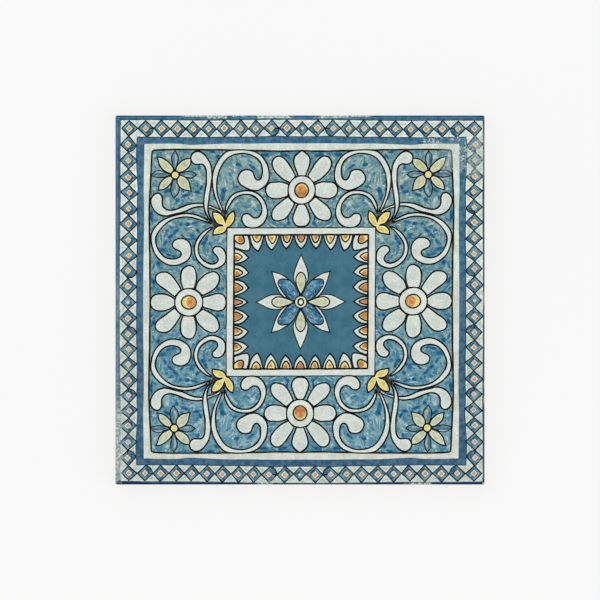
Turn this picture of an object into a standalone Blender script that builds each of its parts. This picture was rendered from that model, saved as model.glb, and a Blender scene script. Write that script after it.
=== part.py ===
"""A square glazed floor tile with an encaustic-look print, pressed and fired as one piece.

The tile lies as it would on a level floor: decorated face up, back down. Units are metres, +Z is up, and
the origin is the centre of the back, on the rib that crosses there. The printed pattern has no thickness,
so the solid is the bare shape: a flat face with a softly rounded rim, four upright edges for the joints,
and a back pressed into a grid of shallow pockets that key the bedding mortar.
"""

import bpy
import bmesh
from mathutils import Matrix

# Driving dimensions of the tile
SIDE = 0.200
THICKNESS = 0.0085
CORNER_RADIUS = 0.0009
RIM_RADIUS = 0.0008
BACK_CHAMFER = 0.0005
ROUND_SEGMENTS = 4

# A ring of edges counts as level within this height, and an edge as sharp beyond this turn, in radians
LEVEL_TOLERANCE = THICKNESS / 100
SHARP_TURN = 0.6

# The keying relief of the back: square pockets between flat ribs
POCKETS_ALONG_SIDE = 8
POCKET_DEPTH = 0.0005
BACK_BORDER = 0.007
RIB_WIDTH = 0.0045
POCKET_DRAFT = 0.0006
POCKET_CORNER_RADIUS = 0.0020
POCKET_CORNER_SEGMENTS = 2
CUTTER_OVERRUN = 0.0010

POCKET_PITCH = (SIDE - 2 * BACK_BORDER + RIB_WIDTH) / POCKETS_ALONG_SIDE
POCKET_SIDE = POCKET_PITCH - RIB_WIDTH

# The mean tint of the whole print, a pale slate blue, under a satin glaze
GLAZE_COLOUR = (0.310, 0.380, 0.370, 1.0)
GLAZE_ROUGHNESS = 0.32


def clear_scene():
    """Removes every object that the start-up scene holds."""
    for obj in list(bpy.data.objects):
        bpy.data.objects.remove(obj)


def new_collection(name):
    collection = bpy.data.collections.new(name)
    bpy.context.scene.collection.children.link(collection)
    return collection


def glaze_material():
    """The fired glaze, in the one colour that stands for the whole print."""
    material = bpy.data.materials.new("satin_glaze")
    material.use_nodes = True
    shader = material.node_tree.nodes["Principled BSDF"]
    shader.inputs["Base Color"].default_value = GLAZE_COLOUR
    shader.inputs["Roughness"].default_value = GLAZE_ROUGHNESS
    shader.inputs["Metallic"].default_value = 0.0
    return material


def edges_where(mesh, test):
    """The edges of a mesh whose two ends both pass a test."""
    return [e for e in mesh.edges if all(test(v.co) for v in e.verts)]


def round_edges(mesh, edges, radius, segments):
    bmesh.ops.bevel(
        mesh,
        geom=edges,
        offset=radius,
        offset_type="OFFSET",
        segments=segments,
        profile=0.5,
        affect="EDGES",
        clamp_overlap=True,
    )


def slab(collection):
    """The tile without its keying relief: upright corners, glazed rim and back edge rounded in that order."""
    mesh = bmesh.new()
    bmesh.ops.create_cube(mesh, size=1.0)
    size = Matrix.Diagonal((SIDE, SIDE, THICKNESS, 1.0))
    lift = Matrix.Translation((0.0, 0.0, THICKNESS / 2))
    bmesh.ops.transform(mesh, matrix=lift @ size, verts=mesh.verts)

    upright = [e for e in mesh.edges if abs(e.verts[0].co.z - e.verts[1].co.z) > THICKNESS / 2]
    round_edges(mesh, upright, CORNER_RADIUS, ROUND_SEGMENTS)
    rim = edges_where(mesh, lambda co: co.z > THICKNESS - LEVEL_TOLERANCE)
    round_edges(mesh, rim, RIM_RADIUS, ROUND_SEGMENTS)
    foot = edges_where(mesh, lambda co: co.z < LEVEL_TOLERANCE)
    round_edges(mesh, foot, BACK_CHAMFER, 1)

    data = bpy.data.meshes.new("tile")
    mesh.to_mesh(data)
    mesh.free()
    obj = bpy.data.objects.new("tile", data)
    collection.objects.link(obj)
    return obj


def add_pocket(mesh, x, y):
    """One square pocket with rounded corners, wider at its mouth than at its floor."""
    made = bmesh.ops.create_cube(mesh, size=1.0)
    height = POCKET_DEPTH + CUTTER_OVERRUN
    size = Matrix.Diagonal((POCKET_SIDE, POCKET_SIDE, height, 1.0))
    middle = Matrix.Translation((x, y, POCKET_DEPTH - height / 2))
    bmesh.ops.transform(mesh, matrix=middle @ size, verts=made["verts"])
    upright = [
        e
        for e in mesh.edges
        if e.verts[0] in made["verts"] and abs(e.verts[0].co.z - e.verts[1].co.z) > height / 2
    ]
    round_edges(mesh, upright, POCKET_CORNER_RADIUS, POCKET_CORNER_SEGMENTS)


def taper_pockets(mesh, centres):
    """Draws each pocket's floor in towards its own centre, as a press die needs."""
    slope = POCKET_DRAFT / POCKET_DEPTH
    for vertex in mesh.verts:
        x, y = min(centres, key=lambda c: abs(c[0] - vertex.co.x) + abs(c[1] - vertex.co.y))
        inset = slope * vertex.co.z
        shrink = 1 - inset / (POCKET_SIDE / 2)
        vertex.co.x = x + (vertex.co.x - x) * shrink
        vertex.co.y = y + (vertex.co.y - y) * shrink


def pocket_cutter(collection):
    """All the pockets of the back as one cutter, in rows and columns about the centre."""
    middle = (POCKETS_ALONG_SIDE - 1) / 2
    places = [(i - middle) * POCKET_PITCH for i in range(POCKETS_ALONG_SIDE)]
    centres = [(x, y) for x in places for y in places]
    mesh = bmesh.new()
    for x, y in centres:
        add_pocket(mesh, x, y)
    taper_pockets(mesh, centres)
    bmesh.ops.recalc_face_normals(mesh, faces=mesh.faces)
    data = bpy.data.meshes.new("back_pockets")
    mesh.to_mesh(data)
    mesh.free()
    cutter = bpy.data.objects.new("back_pockets", data)
    cutter.hide_render = True
    cutter.display_type = "WIRE"
    collection.objects.link(cutter)
    return cutter


def build():
    clear_scene()
    parts = new_collection("encaustic_look_tile")
    cutters = new_collection("cutters")
    tile = slab(parts)
    tile.data.materials.append(glaze_material())
    relief = tile.modifiers.new("keying_relief", "BOOLEAN")
    relief.operation = "DIFFERENCE"
    relief.solver = "EXACT"
    relief.object = pocket_cutter(cutters)
    tile.data.shade_smooth()
    tile.data.set_sharp_from_angle(angle=SHARP_TURN)


build()
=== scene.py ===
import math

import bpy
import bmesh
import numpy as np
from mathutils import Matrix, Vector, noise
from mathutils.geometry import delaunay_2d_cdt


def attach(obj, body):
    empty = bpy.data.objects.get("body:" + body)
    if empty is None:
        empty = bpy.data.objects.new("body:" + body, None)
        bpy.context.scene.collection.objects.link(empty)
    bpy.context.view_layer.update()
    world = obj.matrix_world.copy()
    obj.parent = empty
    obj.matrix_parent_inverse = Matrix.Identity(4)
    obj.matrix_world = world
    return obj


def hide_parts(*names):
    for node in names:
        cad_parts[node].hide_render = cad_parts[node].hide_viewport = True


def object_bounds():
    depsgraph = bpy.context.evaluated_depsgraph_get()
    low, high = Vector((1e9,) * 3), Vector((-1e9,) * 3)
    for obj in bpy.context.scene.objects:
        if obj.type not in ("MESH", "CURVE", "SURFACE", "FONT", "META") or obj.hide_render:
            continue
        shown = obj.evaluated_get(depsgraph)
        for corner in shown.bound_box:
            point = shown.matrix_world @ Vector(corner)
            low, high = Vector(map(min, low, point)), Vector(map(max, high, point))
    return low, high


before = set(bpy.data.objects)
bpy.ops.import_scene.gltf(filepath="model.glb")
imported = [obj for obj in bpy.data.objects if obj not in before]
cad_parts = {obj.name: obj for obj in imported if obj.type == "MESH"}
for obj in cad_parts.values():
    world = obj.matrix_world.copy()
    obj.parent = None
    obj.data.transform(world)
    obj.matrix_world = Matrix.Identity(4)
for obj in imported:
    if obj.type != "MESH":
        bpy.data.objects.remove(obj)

# The looks of a square glazed floor tile with a traditional scroll, daisy and lozenge-border print.
#
# The tile is one piece: its sides and back are those of the CAD node, and its glazed top is a flat
# partition of closed outlines, each in its own glaze colour. The print is drawn once, in one quarter,
# in millimetres from its own centre, and mirrored to the other three.

CAD_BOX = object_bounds()
MM = 0.001
HALF_SIDE = CAD_BOX[1].x / MM
HEIGHT = CAD_BOX[1].z / MM

# The glazed rim of the tile, in millimetres, as the CAD rounds it
CORNER_RADIUS = 0.9
RIM_RADIUS = 0.8
RIM_STEPS = 6
CORNER_STEPS = 6

# How far the print's outlines stay inside the tile's, how far above the side the rim is cut off the
# CAD's body, and how near to each other two points of the partition are one, all in millimetres
EDGE_MARGIN = 0.03
SHOULDER_MARGIN = 0.01
PARTITION_GAP = 1e-5

# How the print lies on the tile: its scale, its offset, its lean over 100 mm, which fades towards the
# border, and its bow
PRINT_SCALE = 0.9986
PRINT_OFFSET = (0.41, -1.06)
PRINT_LEAN = (0.69, 0.54)
LEAN_FADE = (0.95, 1.37)
PRINT_BOW_X = (0.33, 0.20)
PRINT_BOW_Y = (0.30, 0.34)
BOW_REACH = 100.0

# The pen: half the width of an ink line and of a fine one, how much a line swells, as a share of its
# width, and over what length
INK_HALF = 0.445
FINE_HALF = 0.29
INK_SWELL = 0.35
INK_WAVE = 6.0

# The slices of the noise by which the pen swells: outside and inside an outline, round the heart of a
# white shape, and on the left and the right of a line
OUTSIDE, INSIDE, MIDDLE, LEFT, RIGHT = 1.0, 7.0, 3.0, 2.0, 5.0

# How closely a curve is sampled, and the limit beyond which a sharp corner reaches out no further
CURVE_STEP = 0.75
MITRE_LIMIT = 0.42
DISC_SIDES = 28

# How far inside its drawn points the outline of a white shape runs, and how wide the rims are that
# white, green and yellow shapes have inside their ink
SHAPE_TRIM = 0.10
PETAL_RIM = 1.2
GREEN_RIM = 1.0
LEAF_RIM = 0.95

# The ragged ovals of brush marks and chips: their sides, how ragged they are, and how much of the
# noise one goes round
DAB_SIDES = 12
DAB_RAGGED = 0.5
DAB_REACH = 2

# A length too short to divide by, and a distance at which two places are one
TINY = 1e-9
SAME_PLACE = 1e-6

# The signs with which an outline is copied: to every quarter, up and down, left and right, or once
CORNERS = ((1, 1), (-1, 1), (-1, -1), (1, -1))
UP_DOWN = ((1, 1), (1, -1))
LEFT_RIGHT = ((1, 1), (-1, 1))
ONCE = ((1, 1),)


def placed(u, v):
    """A point of the print, in millimetres from its centre, on the tile."""
    a, b = u / BOW_REACH, v / BOW_REACH
    x = u + PRINT_OFFSET[0] + PRINT_LEAN[0] * b * (1 - LEAN_FADE[0] * a * a)
    y = v + PRINT_OFFSET[1] + PRINT_LEAN[1] * a * (1 - LEAN_FADE[1] * b * b)
    x += PRINT_BOW_X[0] * a * a + PRINT_BOW_X[1] * b * b
    y += PRINT_BOW_Y[0] * a * a + PRINT_BOW_Y[1] * b * b
    return PRINT_SCALE * x, PRINT_SCALE * y


def rim_depth(x, y):
    """How far inside the tile's outline a point lies, and the direction straight out of it."""
    straight = HALF_SIDE - CORNER_RADIUS
    qx, qy = abs(x) - straight, abs(y) - straight
    sx, sy = math.copysign(1, x), math.copysign(1, y)
    if qx > 0 and qy > 0:
        far = math.hypot(qx, qy)
        return CORNER_RADIUS - far, (sx * qx / far, sy * qy / far)
    if qx > qy:
        return HALF_SIDE - abs(x), (sx, 0.0)
    return HALF_SIDE - abs(y), (0.0, sy)


def kept_inside(x, y):
    """The nearest point that is at least the edge margin inside the tile's outline."""
    limit = HALF_SIDE - EDGE_MARGIN
    x, y = max(-limit, min(limit, x)), max(-limit, min(limit, y))
    depth, out = rim_depth(x, y)
    push = EDGE_MARGIN - depth
    if push > 0:
        x, y = x - out[0] * push, y - out[1] * push
    return x, y


def span(a, b, c, d):
    """Points from b to just before c on the centripetal Catmull-Rom curve through a, b, c and d."""
    k1, k2, k3 = (math.sqrt(max(math.dist(p, q), SAME_PLACE)) for p, q in ((a, b), (b, c), (c, d)))
    start = ((b - a) / k1 - (c - a) / (k1 + k2) + (c - b) / k2) * k2
    end = ((c - b) / k2 - (d - b) / (k2 + k3) + (d - c) / k3) * k2
    count = max(2, round(math.dist(b, c) / CURVE_STEP))
    points = []
    for i in range(count):
        t = i / count
        blend = t * t * (3 - 2 * t)
        points.append(b + (c - b) * blend + start * t * (1 - t) ** 2 - end * t * t * (1 - t))
    return points


def curve(points):
    """A smooth open curve through the points, both ends included."""
    p = [np.array(q, float) for q in points]
    p = [2 * p[0] - p[1], *p, 2 * p[-1] - p[-2]]
    samples = [q for four in zip(p, p[1:], p[2:], p[3:]) for q in span(*four)]
    return [*samples, p[-2]]


def outline(points, corners=()):
    """A closed outline through the points: sharp at the numbered corners and smooth elsewhere."""
    p = [np.array(q, float) for q in points]
    if not corners:
        ring = [p[-1], *p, p[0], p[1]]
        return np.array([q for four in zip(ring, ring[1:], ring[2:], ring[3:]) for q in span(*four)])
    stops = [*corners, corners[0] + len(p)]
    samples = []
    for first, last in zip(stops, stops[1:]):
        samples += curve([p[i % len(p)] for i in range(first, last + 1)])[:-1]
    return np.array(samples)


def counter_clockwise(loop):
    x, y = loop[:, 0], loop[:, 1]
    area = np.sum(x * np.roll(y, -1) - y * np.roll(x, -1))
    return loop if area > 0 else loop[::-1]


def unit(vectors):
    """The vectors, one in each row, at length one."""
    return vectors / np.maximum(np.linalg.norm(vectors, axis=1), TINY)[:, None]


def grown(loop, amount):
    """The outline moved out along its own normals by an amount, or by one amount for each point."""
    loop = counter_clockwise(loop)
    ahead = unit(np.roll(loop, -1, 0) - loop)
    along = unit(ahead + np.roll(ahead, 1, 0))
    mitre = np.maximum(np.sum(along * ahead, axis=1), MITRE_LIMIT)
    normal = np.stack([along[:, 1], -along[:, 0]], 1)
    return loop + normal * (np.broadcast_to(amount, len(loop)) / mitre)[:, None]


def pen(points, seed, half=INK_HALF):
    """Half the width of the pen line at each point: it swells and thins as a brush does."""
    swells = [noise.noise((x / INK_WAVE, y / INK_WAVE, seed)) for x, y in points]
    return np.array([half * (1 + INK_SWELL * swell) for swell in swells])


def mirrored(half):
    """Points that start and end on the vertical middle line, completed with their mirror image."""
    return [*half, *[(-u, v) for u, v in reversed(half) if abs(u) > SAME_PLACE]]


def turned(points):
    """The points mirrored on the diagonal, so that the vertical becomes the horizontal."""
    return [(v, u) for u, v in points]


def ragged_oval(u, v, length, width, angle):
    """A leaning oval with a ragged edge, such as a short mark of a loaded brush or a small chip."""
    lean = math.radians(angle)
    loop = []
    for i in range(DAB_SIDES):
        turn = i * math.tau / DAB_SIDES
        cos, sin = math.cos(turn), math.sin(turn)
        ragged = 1 + DAB_RAGGED * noise.noise((u + DAB_REACH * cos, v + DAB_REACH * sin, length))
        along, across = ragged * length / 2 * cos, ragged * width / 2 * sin
        loop.append((u + along * math.cos(lean) - across * math.sin(lean),
                     v + along * math.sin(lean) + across * math.cos(lean)))
    return loop


def disc(u, v, radius_u, radius_v=None):
    """A circle, or an upright oval where a second radius is given."""
    radius_v = radius_v or radius_u
    turn = [i * math.tau / DISC_SIDES for i in range(DISC_SIDES)]
    return np.array([(u + radius_u * math.cos(t), v + radius_v * math.sin(t)) for t in turn])


class Print:
    """The drawing as closed outlines on the tile, the later ones on top of the earlier ones."""

    def __init__(self):
        self.layers = []

    def lay_on_tile(self, colour, loop):
        """An outline given in the tile's own place, such as a chip, which isn't mirrored."""
        points = [kept_inside(x, y) for x, y in loop]
        self.layers.append((colour, counter_clockwise(np.array(points))))

    def lay(self, colour, loop, copies=CORNERS):
        """An outline of the print, mirrored to every quarter unless fewer copies are named."""
        for su, sv in copies:
            self.lay_on_tile(colour, [placed(su * u, sv * v) for u, v in loop])

    def drawn(self, colour, loop, copies=CORNERS, half=INK_HALF, ink="ink"):
        """A shape with an ink outline whose middle runs along the loop."""
        loop = counter_clockwise(loop)
        self.lay(ink, grown(loop, pen(loop, OUTSIDE, half)), copies)
        self.lay(colour, grown(loop, -pen(loop, INSIDE, half)), copies)

    def rimmed(self, light, colour, rim, loop, copies=CORNERS, half=INK_HALF, ink="ink"):
        """A drawn shape with a lighter rim inside its ink, of one width or of one for each point."""
        self.drawn(light, loop, copies, half, ink)
        self.lay(colour, grown(loop, -rim), copies)

    def white(self, loop, copies=CORNERS):
        """A white shape, a little greyer inside than along its outline, where the rim swells and thins."""
        loop = grown(loop, -SHAPE_TRIM)
        self.rimmed("white", "petal", pen(loop, MIDDLE, PETAL_RIM), loop, copies)

    def line(self, points, copies=CORNERS, half=INK_HALF, colour="ink"):
        """An open pen line."""
        path = np.array(curve(points))
        ahead = unit(np.gradient(path, axis=0))
        normal = np.stack([-ahead[:, 1], ahead[:, 0]], 1)
        left = path + normal * pen(path, LEFT, half)[:, None]
        right = path - normal * pen(path, RIGHT, half)[:, None]
        self.lay(colour, [*left, *right[::-1]], copies)


def region(top, side):
    """The quarter of a frame-like field: from the middle lines out to a top edge and a side edge."""
    top, side = curve(top), curve(side)
    return [(0.0, 0.0), *[tuple(p) for p in top], *[tuple(p) for p in side], (side[-1][0], 0.0)]


# The edges of the border's bands and of the field, from a middle line of the print to the corner, and
# half the width of the field's ink line
OUTER_BAND_TOP = [(0, 98.7), (20, 98.6), (34, 98.4), (48, 98.2), (62, 98.1), (80, 98.2), (98.4, 98.1)]
OUTER_BAND_SIDE = [(98.4, 98.0), (98.5, 80), (98.4, 60), (98.5, 40), (98.7, 20), (98.8, 0)]
INNER_BAND_TOP = [
    (0, 89.3), (8, 89.4), (15, 89.6), (28, 89.1), (45, 89.0), (60, 88.7), (76, 88.8), (89.2, 88.9),
]
INNER_BAND_SIDE = [
    (89.2, 88.8), (89.6, 80), (89.1, 68), (88.7, 62), (89.0, 54), (88.9, 36), (89.2, 18), (89.2, 0),
]
CREAM_TOP = [
    (0, 85.7), (14, 85.8), (28, 85.6), (40, 85.6), (52, 85.1), (60, 84.8), (67, 85.4), (85.3, 85.3),
]
CREAM_SIDE = [(85.3, 85.2), (85.5, 70), (85.6, 60), (85.3, 48), (85.4, 34), (85.6, 18), (85.7, 0)]
FIELD_TOP = [(0, 81.8), (12, 81.5), (24, 81.8), (40, 82.1), (58, 82.3), (75, 82.2), (80.6, 81.8)]
FIELD_SIDE = [
    (81.1, 81.0), (81.4, 76), (81.7, 70), (82.1, 62), (82.5, 50), (82.4, 36), (82.1, 20), (81.9, 0),
]
FIELD_LINE = 0.48

# How wide the strip of painted shade along the rounded rim is, at the top and the foot edge, and the
# band along each side that has its own tint
RIM_SHADE_WIDTH = 0.75
SIDE_BAND = 2.5


def lay_strip(sheet, colour, x0, y0, x1, y1):
    """A straight strip of the tile, between two opposite corners."""
    sheet.lay_on_tile(colour, [(x0, y0), (x1, y0), (x1, y1), (x0, y1)])


def lay_outer_band(sheet):
    """The outermost band in the tint of each side of the tile, with painted rim shade at the top and foot.
    """
    size, start = 2 * HALF_SIDE, HALF_SIDE - SIDE_BAND
    line = HALF_SIDE - RIM_SHADE_WIDTH
    lay_strip(sheet, "band", -size, -size, size, size)
    lay_strip(sheet, "band_left", -size, -size, -start, size)
    lay_strip(sheet, "band_right", start, -size, size, start)
    lay_strip(sheet, "band_foot", -size, -size, size, -start)
    # Painted shade of the rounded rim: a darker strip along the top edge and another along the foot edge
    lay_strip(sheet, "band_line_and_rim_shade", -size, line, size, size)
    lay_strip(sheet, "painted_rim_shade", -size, -size, size, -line)


def lay_ground(sheet):
    """The border bands, the cream band and the mottled field with its ink line, from the outside in."""
    lay_outer_band(sheet)
    bands = (("pale", OUTER_BAND_TOP, OUTER_BAND_SIDE), ("band", INNER_BAND_TOP, INNER_BAND_SIDE))
    for colour, top, side in bands:
        sheet.lay(colour, region(top, side))
        for edge in (top, side):
            sheet.line(edge, half=FINE_HALF, colour="band_line_and_rim_shade")
    sheet.lay("cream", region(CREAM_TOP, CREAM_SIDE))
    sheet.lay("field", region(FIELD_TOP, FIELD_SIDE))
    lay_brushwork(sheet)
    for edge in (FIELD_TOP, FIELD_SIDE, [FIELD_TOP[-1], FIELD_SIDE[0]]):
        sheet.line(edge, half=FIELD_LINE)


# The brush marks of the field: where the middle of each lies, its length, width and angle. A pale
# stroke has a paler heart and a deep dab a soft rim, each by a share of the mark's length and width.
PALER_HEART = (0.75, 0.5)
SOFT_RIM = (1.25, 1.45)
DEEP_HEART = (0.92, 0.9)
DEEP_DABS = [
    (26.8, 73.0, 4.2, 1.3, 35), (34.5, 74.2, 3.0, 1.8, 20), (35.1, 62.3, 1.8, 1.0, 30),
    (42.6, 58.9, 5.6, 2.4, -75), (43.1, 56.4, 3.6, 1.6, 80), (19.9, 79.7, 5.0, 1.8, -8),
    (9.3, 79.5, 5.0, 1.8, 15), (6.8, 42.6, 2.2, 1.8, 0), (7.1, 45.2, 3.0, 1.0, 80),
    (55.6, 72.7, 2.4, 1.7, 80), (54.4, 61.8, 2.6, 1.3, -55), (56.5, 59.5, 3.9, 1.5, 20),
    (62.9, 57.8, 5.0, 1.4, -20), (64.5, 60.1, 1.8, 1.2, 0), (67.1, 55.2, 2.4, 1.7, -45),
    (72.6, 60.2, 3.8, 1.6, -28), (81.2, 46.5, 7.0, 1.3, 86), (57.2, 43.0, 4.6, 1.0, -14),
    (61.7, 42.2, 2.7, 1.8, 0), (65.3, 42.0, 1.8, 1.4, 0), (56.2, 38.7, 2.7, 1.2, 60),
    (59.0, 35.9, 2.7, 1.8, 0), (58.5, 34.6, 2.8, 1.2, 10), (64.3, 35.9, 3.1, 0.9, 40),
    (68.3, 38.1, 5.0, 1.7, -50), (70.8, 35.7, 3.5, 1.4, -40), (73.8, 32.1, 3.6, 1.4, -58),
    (75.0, 28.3, 4.2, 2.0, 22), (71.5, 25.6, 5.0, 1.2, 24), (69.0, 25.0, 3.0, 1.2, 0),
    (51.7, 34.0, 5.0, 1.5, -60), (52.9, 32.2, 2.6, 1.9, -60), (42.5, 7.4, 1.9, 1.6, 0),
    (44.8, 7.2, 2.0, 1.6, 0), (77.3, 21.0, 2.7, 1.7, 30), (58.7, 31.1, 3.0, 0.8, 85),
    (80.1, 11.2, 4.0, 1.5, 62), (48.5, 81.1, 4.0, 1.1, 5), (45.9, 78.6, 2.6, 1.4, -50),
    (61.5, 34.3, 3.4, 0.9, 12),
]
SOFT_DABS = [
    (31.8, 78.9, 2.6, 1.0, 10), (15.3, 42.9, 4.2, 1.2, 10), (11.5, 42.0, 6.0, 0.9, 0),
    (14.6, 66.4, 4.2, 1.0, 28), (17.2, 49.5, 3.2, 1.2, 72), (23.2, 51.2, 2.6, 1.2, 60),
    (25.2, 49.9, 2.6, 1.2, 30), (33.4, 54.5, 2.2, 1.0, 60), (33.1, 47.6, 3.2, 1.0, -70),
    (30.3, 51.5, 2.2, 1.0, 20), (47.8, 56.8, 3.6, 1.3, 76), (36.9, 61.7, 2.6, 1.0, -45),
    (39.0, 69.0, 3.0, 1.4, 60), (63.5, 81.1, 5.0, 1.2, 3), (65.4, 77.7, 2.2, 1.2, 60),
    (68.4, 53.4, 3.2, 1.0, -45), (77.6, 80.2, 3.0, 1.4, -20), (79.0, 44.1, 3.2, 1.4, -48),
    (53.1, 47.4, 2.6, 1.2, 40), (59.7, 40.6, 1.8, 1.0, 0), (70.1, 40.4, 3.6, 1.9, 20),
    (72.8, 38.7, 2.8, 1.5, -40), (71.1, 33.1, 1.6, 1.0, 20), (75.2, 31.0, 2.2, 1.2, -50),
    (76.2, 34.8, 3.2, 1.0, 80), (52.4, 28.8, 5.0, 1.4, 86), (48.9, 24.1, 3.2, 1.4, 60),
    (48.3, 26.0, 2.4, 1.0, 70), (44.0, 31.5, 4.0, 1.0, 10), (58.5, 23.8, 4.0, 1.5, 70),
    (42.5, 16.8, 2.6, 1.2, 30), (45.6, 6.2, 3.0, 0.9, -30), (80.1, 19.2, 3.4, 1.4, -70),
    (66.8, 16.9, 2.4, 1.0, 20), (70.8, 17.9, 2.6, 0.8, 12), (79.0, 7.9, 4.0, 1.4, 35),
    (77.4, 5.6, 3.0, 1.0, 20), (3.9, 79.6, 3.4, 1.2, -50), (6.4, 80.4, 4.0, 1.2, 0),
    (14.6, 80.6, 4.2, 1.2, -4), (61.0, 53.9, 3.0, 0.8, -12), (66.0, 45.2, 3.4, 0.8, -8),
    (74.0, 36.2, 2.4, 1.0, -50), (66.2, 39.6, 2.0, 0.9, -60), (56.6, 64.4, 2.4, 0.9, 30),
    (62.2, 74.0, 1.8, 0.8, 60), (23.6, 76.6, 2.4, 0.9, 60), (28.6, 76.2, 2.6, 0.9, 30),
    (38.2, 76.8, 2.4, 0.9, -40), (37.0, 64.6, 2.2, 1.0, 60), (54.6, 76.8, 1.8, 1.0, 30),
    (80.0, 64.0, 2.4, 1.0, 80), (42.0, 13.6, 2.2, 1.0, 60), (54.9, 17.9, 2.6, 0.9, 10),
    (49.6, 31.6, 2.4, 1.0, 70), (46.0, 33.6, 2.4, 0.9, -20),
]
PALE_STROKES = [
    (25.1, 75.9, 4.4, 1.4, 52), (33.1, 79.1, 6.0, 0.9, -12), (36.5, 74.1, 1.7, 1.2, 0),
    (36.6, 71.4, 2.6, 1.4, 70), (42.9, 66.4, 7.0, 0.8, 94), (39.8, 66.0, 5.0, 0.6, 82),
    (36.6, 67.4, 5.0, 1.8, 80), (26.2, 53.4, 4.8, 2.4, 52), (29.0, 56.9, 4.4, 0.7, 12),
    (35.1, 54.6, 3.2, 1.4, -52), (37.4, 52.2, 4.0, 1.7, -60), (22.9, 71.8, 6.0, 0.9, 85),
    (54.4, 65.3, 3.2, 1.6, 20), (56.7, 66.7, 3.2, 1.9, 30), (55.6, 69.3, 3.0, 1.0, 60),
    (72.7, 55.6, 3.4, 2.2, 60), (72.5, 53.9, 2.6, 1.1, 20), (60.5, 43.9, 4.0, 0.8, -4),
    (72.1, 78.3, 3.6, 2.4, 30), (79.2, 74.6, 3.4, 1.6, 70), (59.3, 56.4, 3.4, 1.2, 10),
    (43.2, 34.5, 5.0, 2.2, -60), (76.6, 33.2, 4.0, 0.8, 80), (51.9, 15.9, 5.0, 1.4, -50),
    (53.9, 13.9, 3.0, 1.3, -52), (67.2, 36.2, 2.6, 1.0, 20), (54.0, 21.6, 3.4, 0.8, 50),
    (13.0, 68.3, 3.0, 0.9, 40), (17.0, 78.0, 2.6, 1.0, -50), (31.2, 44.0, 3.0, 1.2, 80),
    (35.0, 43.6, 3.6, 1.4, -60), (79.8, 79.2, 3.0, 1.6, -40), (61.5, 75.4, 2.6, 1.0, 60),
    (46.5, 54.0, 3.6, 1.1, 70), (48.8, 48.6, 2.6, 1.2, 75), (54.6, 49.2, 3.0, 0.9, 20),
    (63.0, 22.0, 3.0, 0.8, -50), (66.5, 26.8, 2.4, 0.7, -40), (42.2, 18.4, 2.4, 0.8, -50),
    (60.5, 21.4, 2.8, 0.8, 10),
]
BRIGHT_STROKES = [(41.4, 64.6, 4.4, 0.6, 80), (26.4, 52.3, 3.4, 0.7, -42), (36.7, 74.2, 1.0, 0.8, 0)]


def lay_mark(sheet, colour, mark, share=(1, 1)):
    """A brush mark, or a share of its length and of its width."""
    u, v, length, width, angle = mark
    sheet.lay(colour, ragged_oval(u, v, share[0] * length, share[1] * width, angle))


def lay_brushwork(sheet):
    """The marks of the brush in the field: pale strokes first, then the soft and the deep blue dabs."""
    for stroke in PALE_STROKES:
        lay_mark(sheet, "field_pale", stroke)
        lay_mark(sheet, "field_paler", stroke, PALER_HEART)
    for stroke in BRIGHT_STROKES:
        lay_mark(sheet, "field_bright", stroke)
    for dab in SOFT_DABS:
        lay_mark(sheet, "field_soft", dab)
    for dab in DEEP_DABS:
        lay_mark(sheet, "field_soft", dab, SOFT_RIM)
        lay_mark(sheet, "field_deep", dab, DEEP_HEART)


# The lozenges of the top row and of the right column, from the middle outwards: where neighbours cross,
# their outer and inner tips, and their cores with how far each reaches
ROW_CROSSINGS = [
    (3.4, 93.55), (12.5, 93.9), (20.85, 93.85), (29.15, 93.55), (37.4, 93.5), (46.35, 93.45),
    (54.8, 93.3), (63.1, 93.35), (71.5, 93.3), (80.4, 93.65), (88.9, 93.5), (97.7, 93.5),
]
ROW_OUTER_TIPS = [
    (0, 97.4), (8.5, 98.5), (16.5, 98.4), (25.2, 98.4), (33.3, 98.3), (42.3, 98.3),
    (50.6, 97.9), (59.4, 97.5), (67.4, 97.8), (76.3, 98.0), (84.8, 97.6), (93.6, 97.5),
]
ROW_INNER_TIPS = [
    (0, 90.0), (8.0, 89.4), (16.0, 89.6), (24.6, 89.4), (33.2, 89.4), (42.1, 89.2),
    (50.5, 89.1), (58.5, 88.8), (67.2, 88.8), (76.1, 89.1), (84.2, 89.1), (93.9, 89.4),
]
ROW_CORES = [
    (0, 94.0, 0.95), (8.3, 94.1, 2.1), (16.8, 93.85, 1.75), (25.3, 93.7, 1.75), (33.5, 93.8, 1.75),
    (42.2, 93.8, 2.05), (50.7, 93.5, 1.75), (58.9, 93.3, 1.75), (67.4, 93.4, 2.0), (76.1, 93.5, 2.1),
    (84.7, 93.4, 1.75), (93.6, 93.4, 1.85),
]
COLUMN_CROSSINGS = [
    (94.0, 3.8), (94.05, 13.0), (94.0, 21.5), (93.75, 29.9), (93.5, 38.0), (93.8, 47.0),
    (93.45, 55.0), (93.55, 63.2), (93.9, 71.85), (94.15, 80.9), (93.9, 89.4),
]
COLUMN_OUTER_TIPS = [
    (97.6, 0), (98.6, 8.5), (98.0, 17.2), (98.3, 25.7), (98.1, 33.9), (98.5, 42.5),
    (98.1, 50.7), (98.0, 59.6), (98.5, 67.5), (98.4, 76.5), (98.2, 84.8),
]
COLUMN_INNER_TIPS = [
    (89.7, 0), (89.3, 8.4), (89.2, 16.4), (89.1, 24.95), (88.9, 33.4), (88.95, 42.35),
    (89.3, 50.5), (88.8, 58.4), (89.4, 67.1), (89.1, 76.2), (89.7, 84.6),
]
COLUMN_CORES = [
    (94.0, 0, 1.0), (94.0, 8.7, 1.95), (93.95, 17.2, 1.8), (93.6, 25.4, 1.8), (93.9, 33.75, 1.8),
    (93.8, 42.5, 2.1), (93.7, 50.6, 1.6), (93.35, 59.2, 1.7), (94.1, 67.4, 1.9), (94.0, 76.4, 1.75),
    (94.3, 85.0, 1.85),
]
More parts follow.
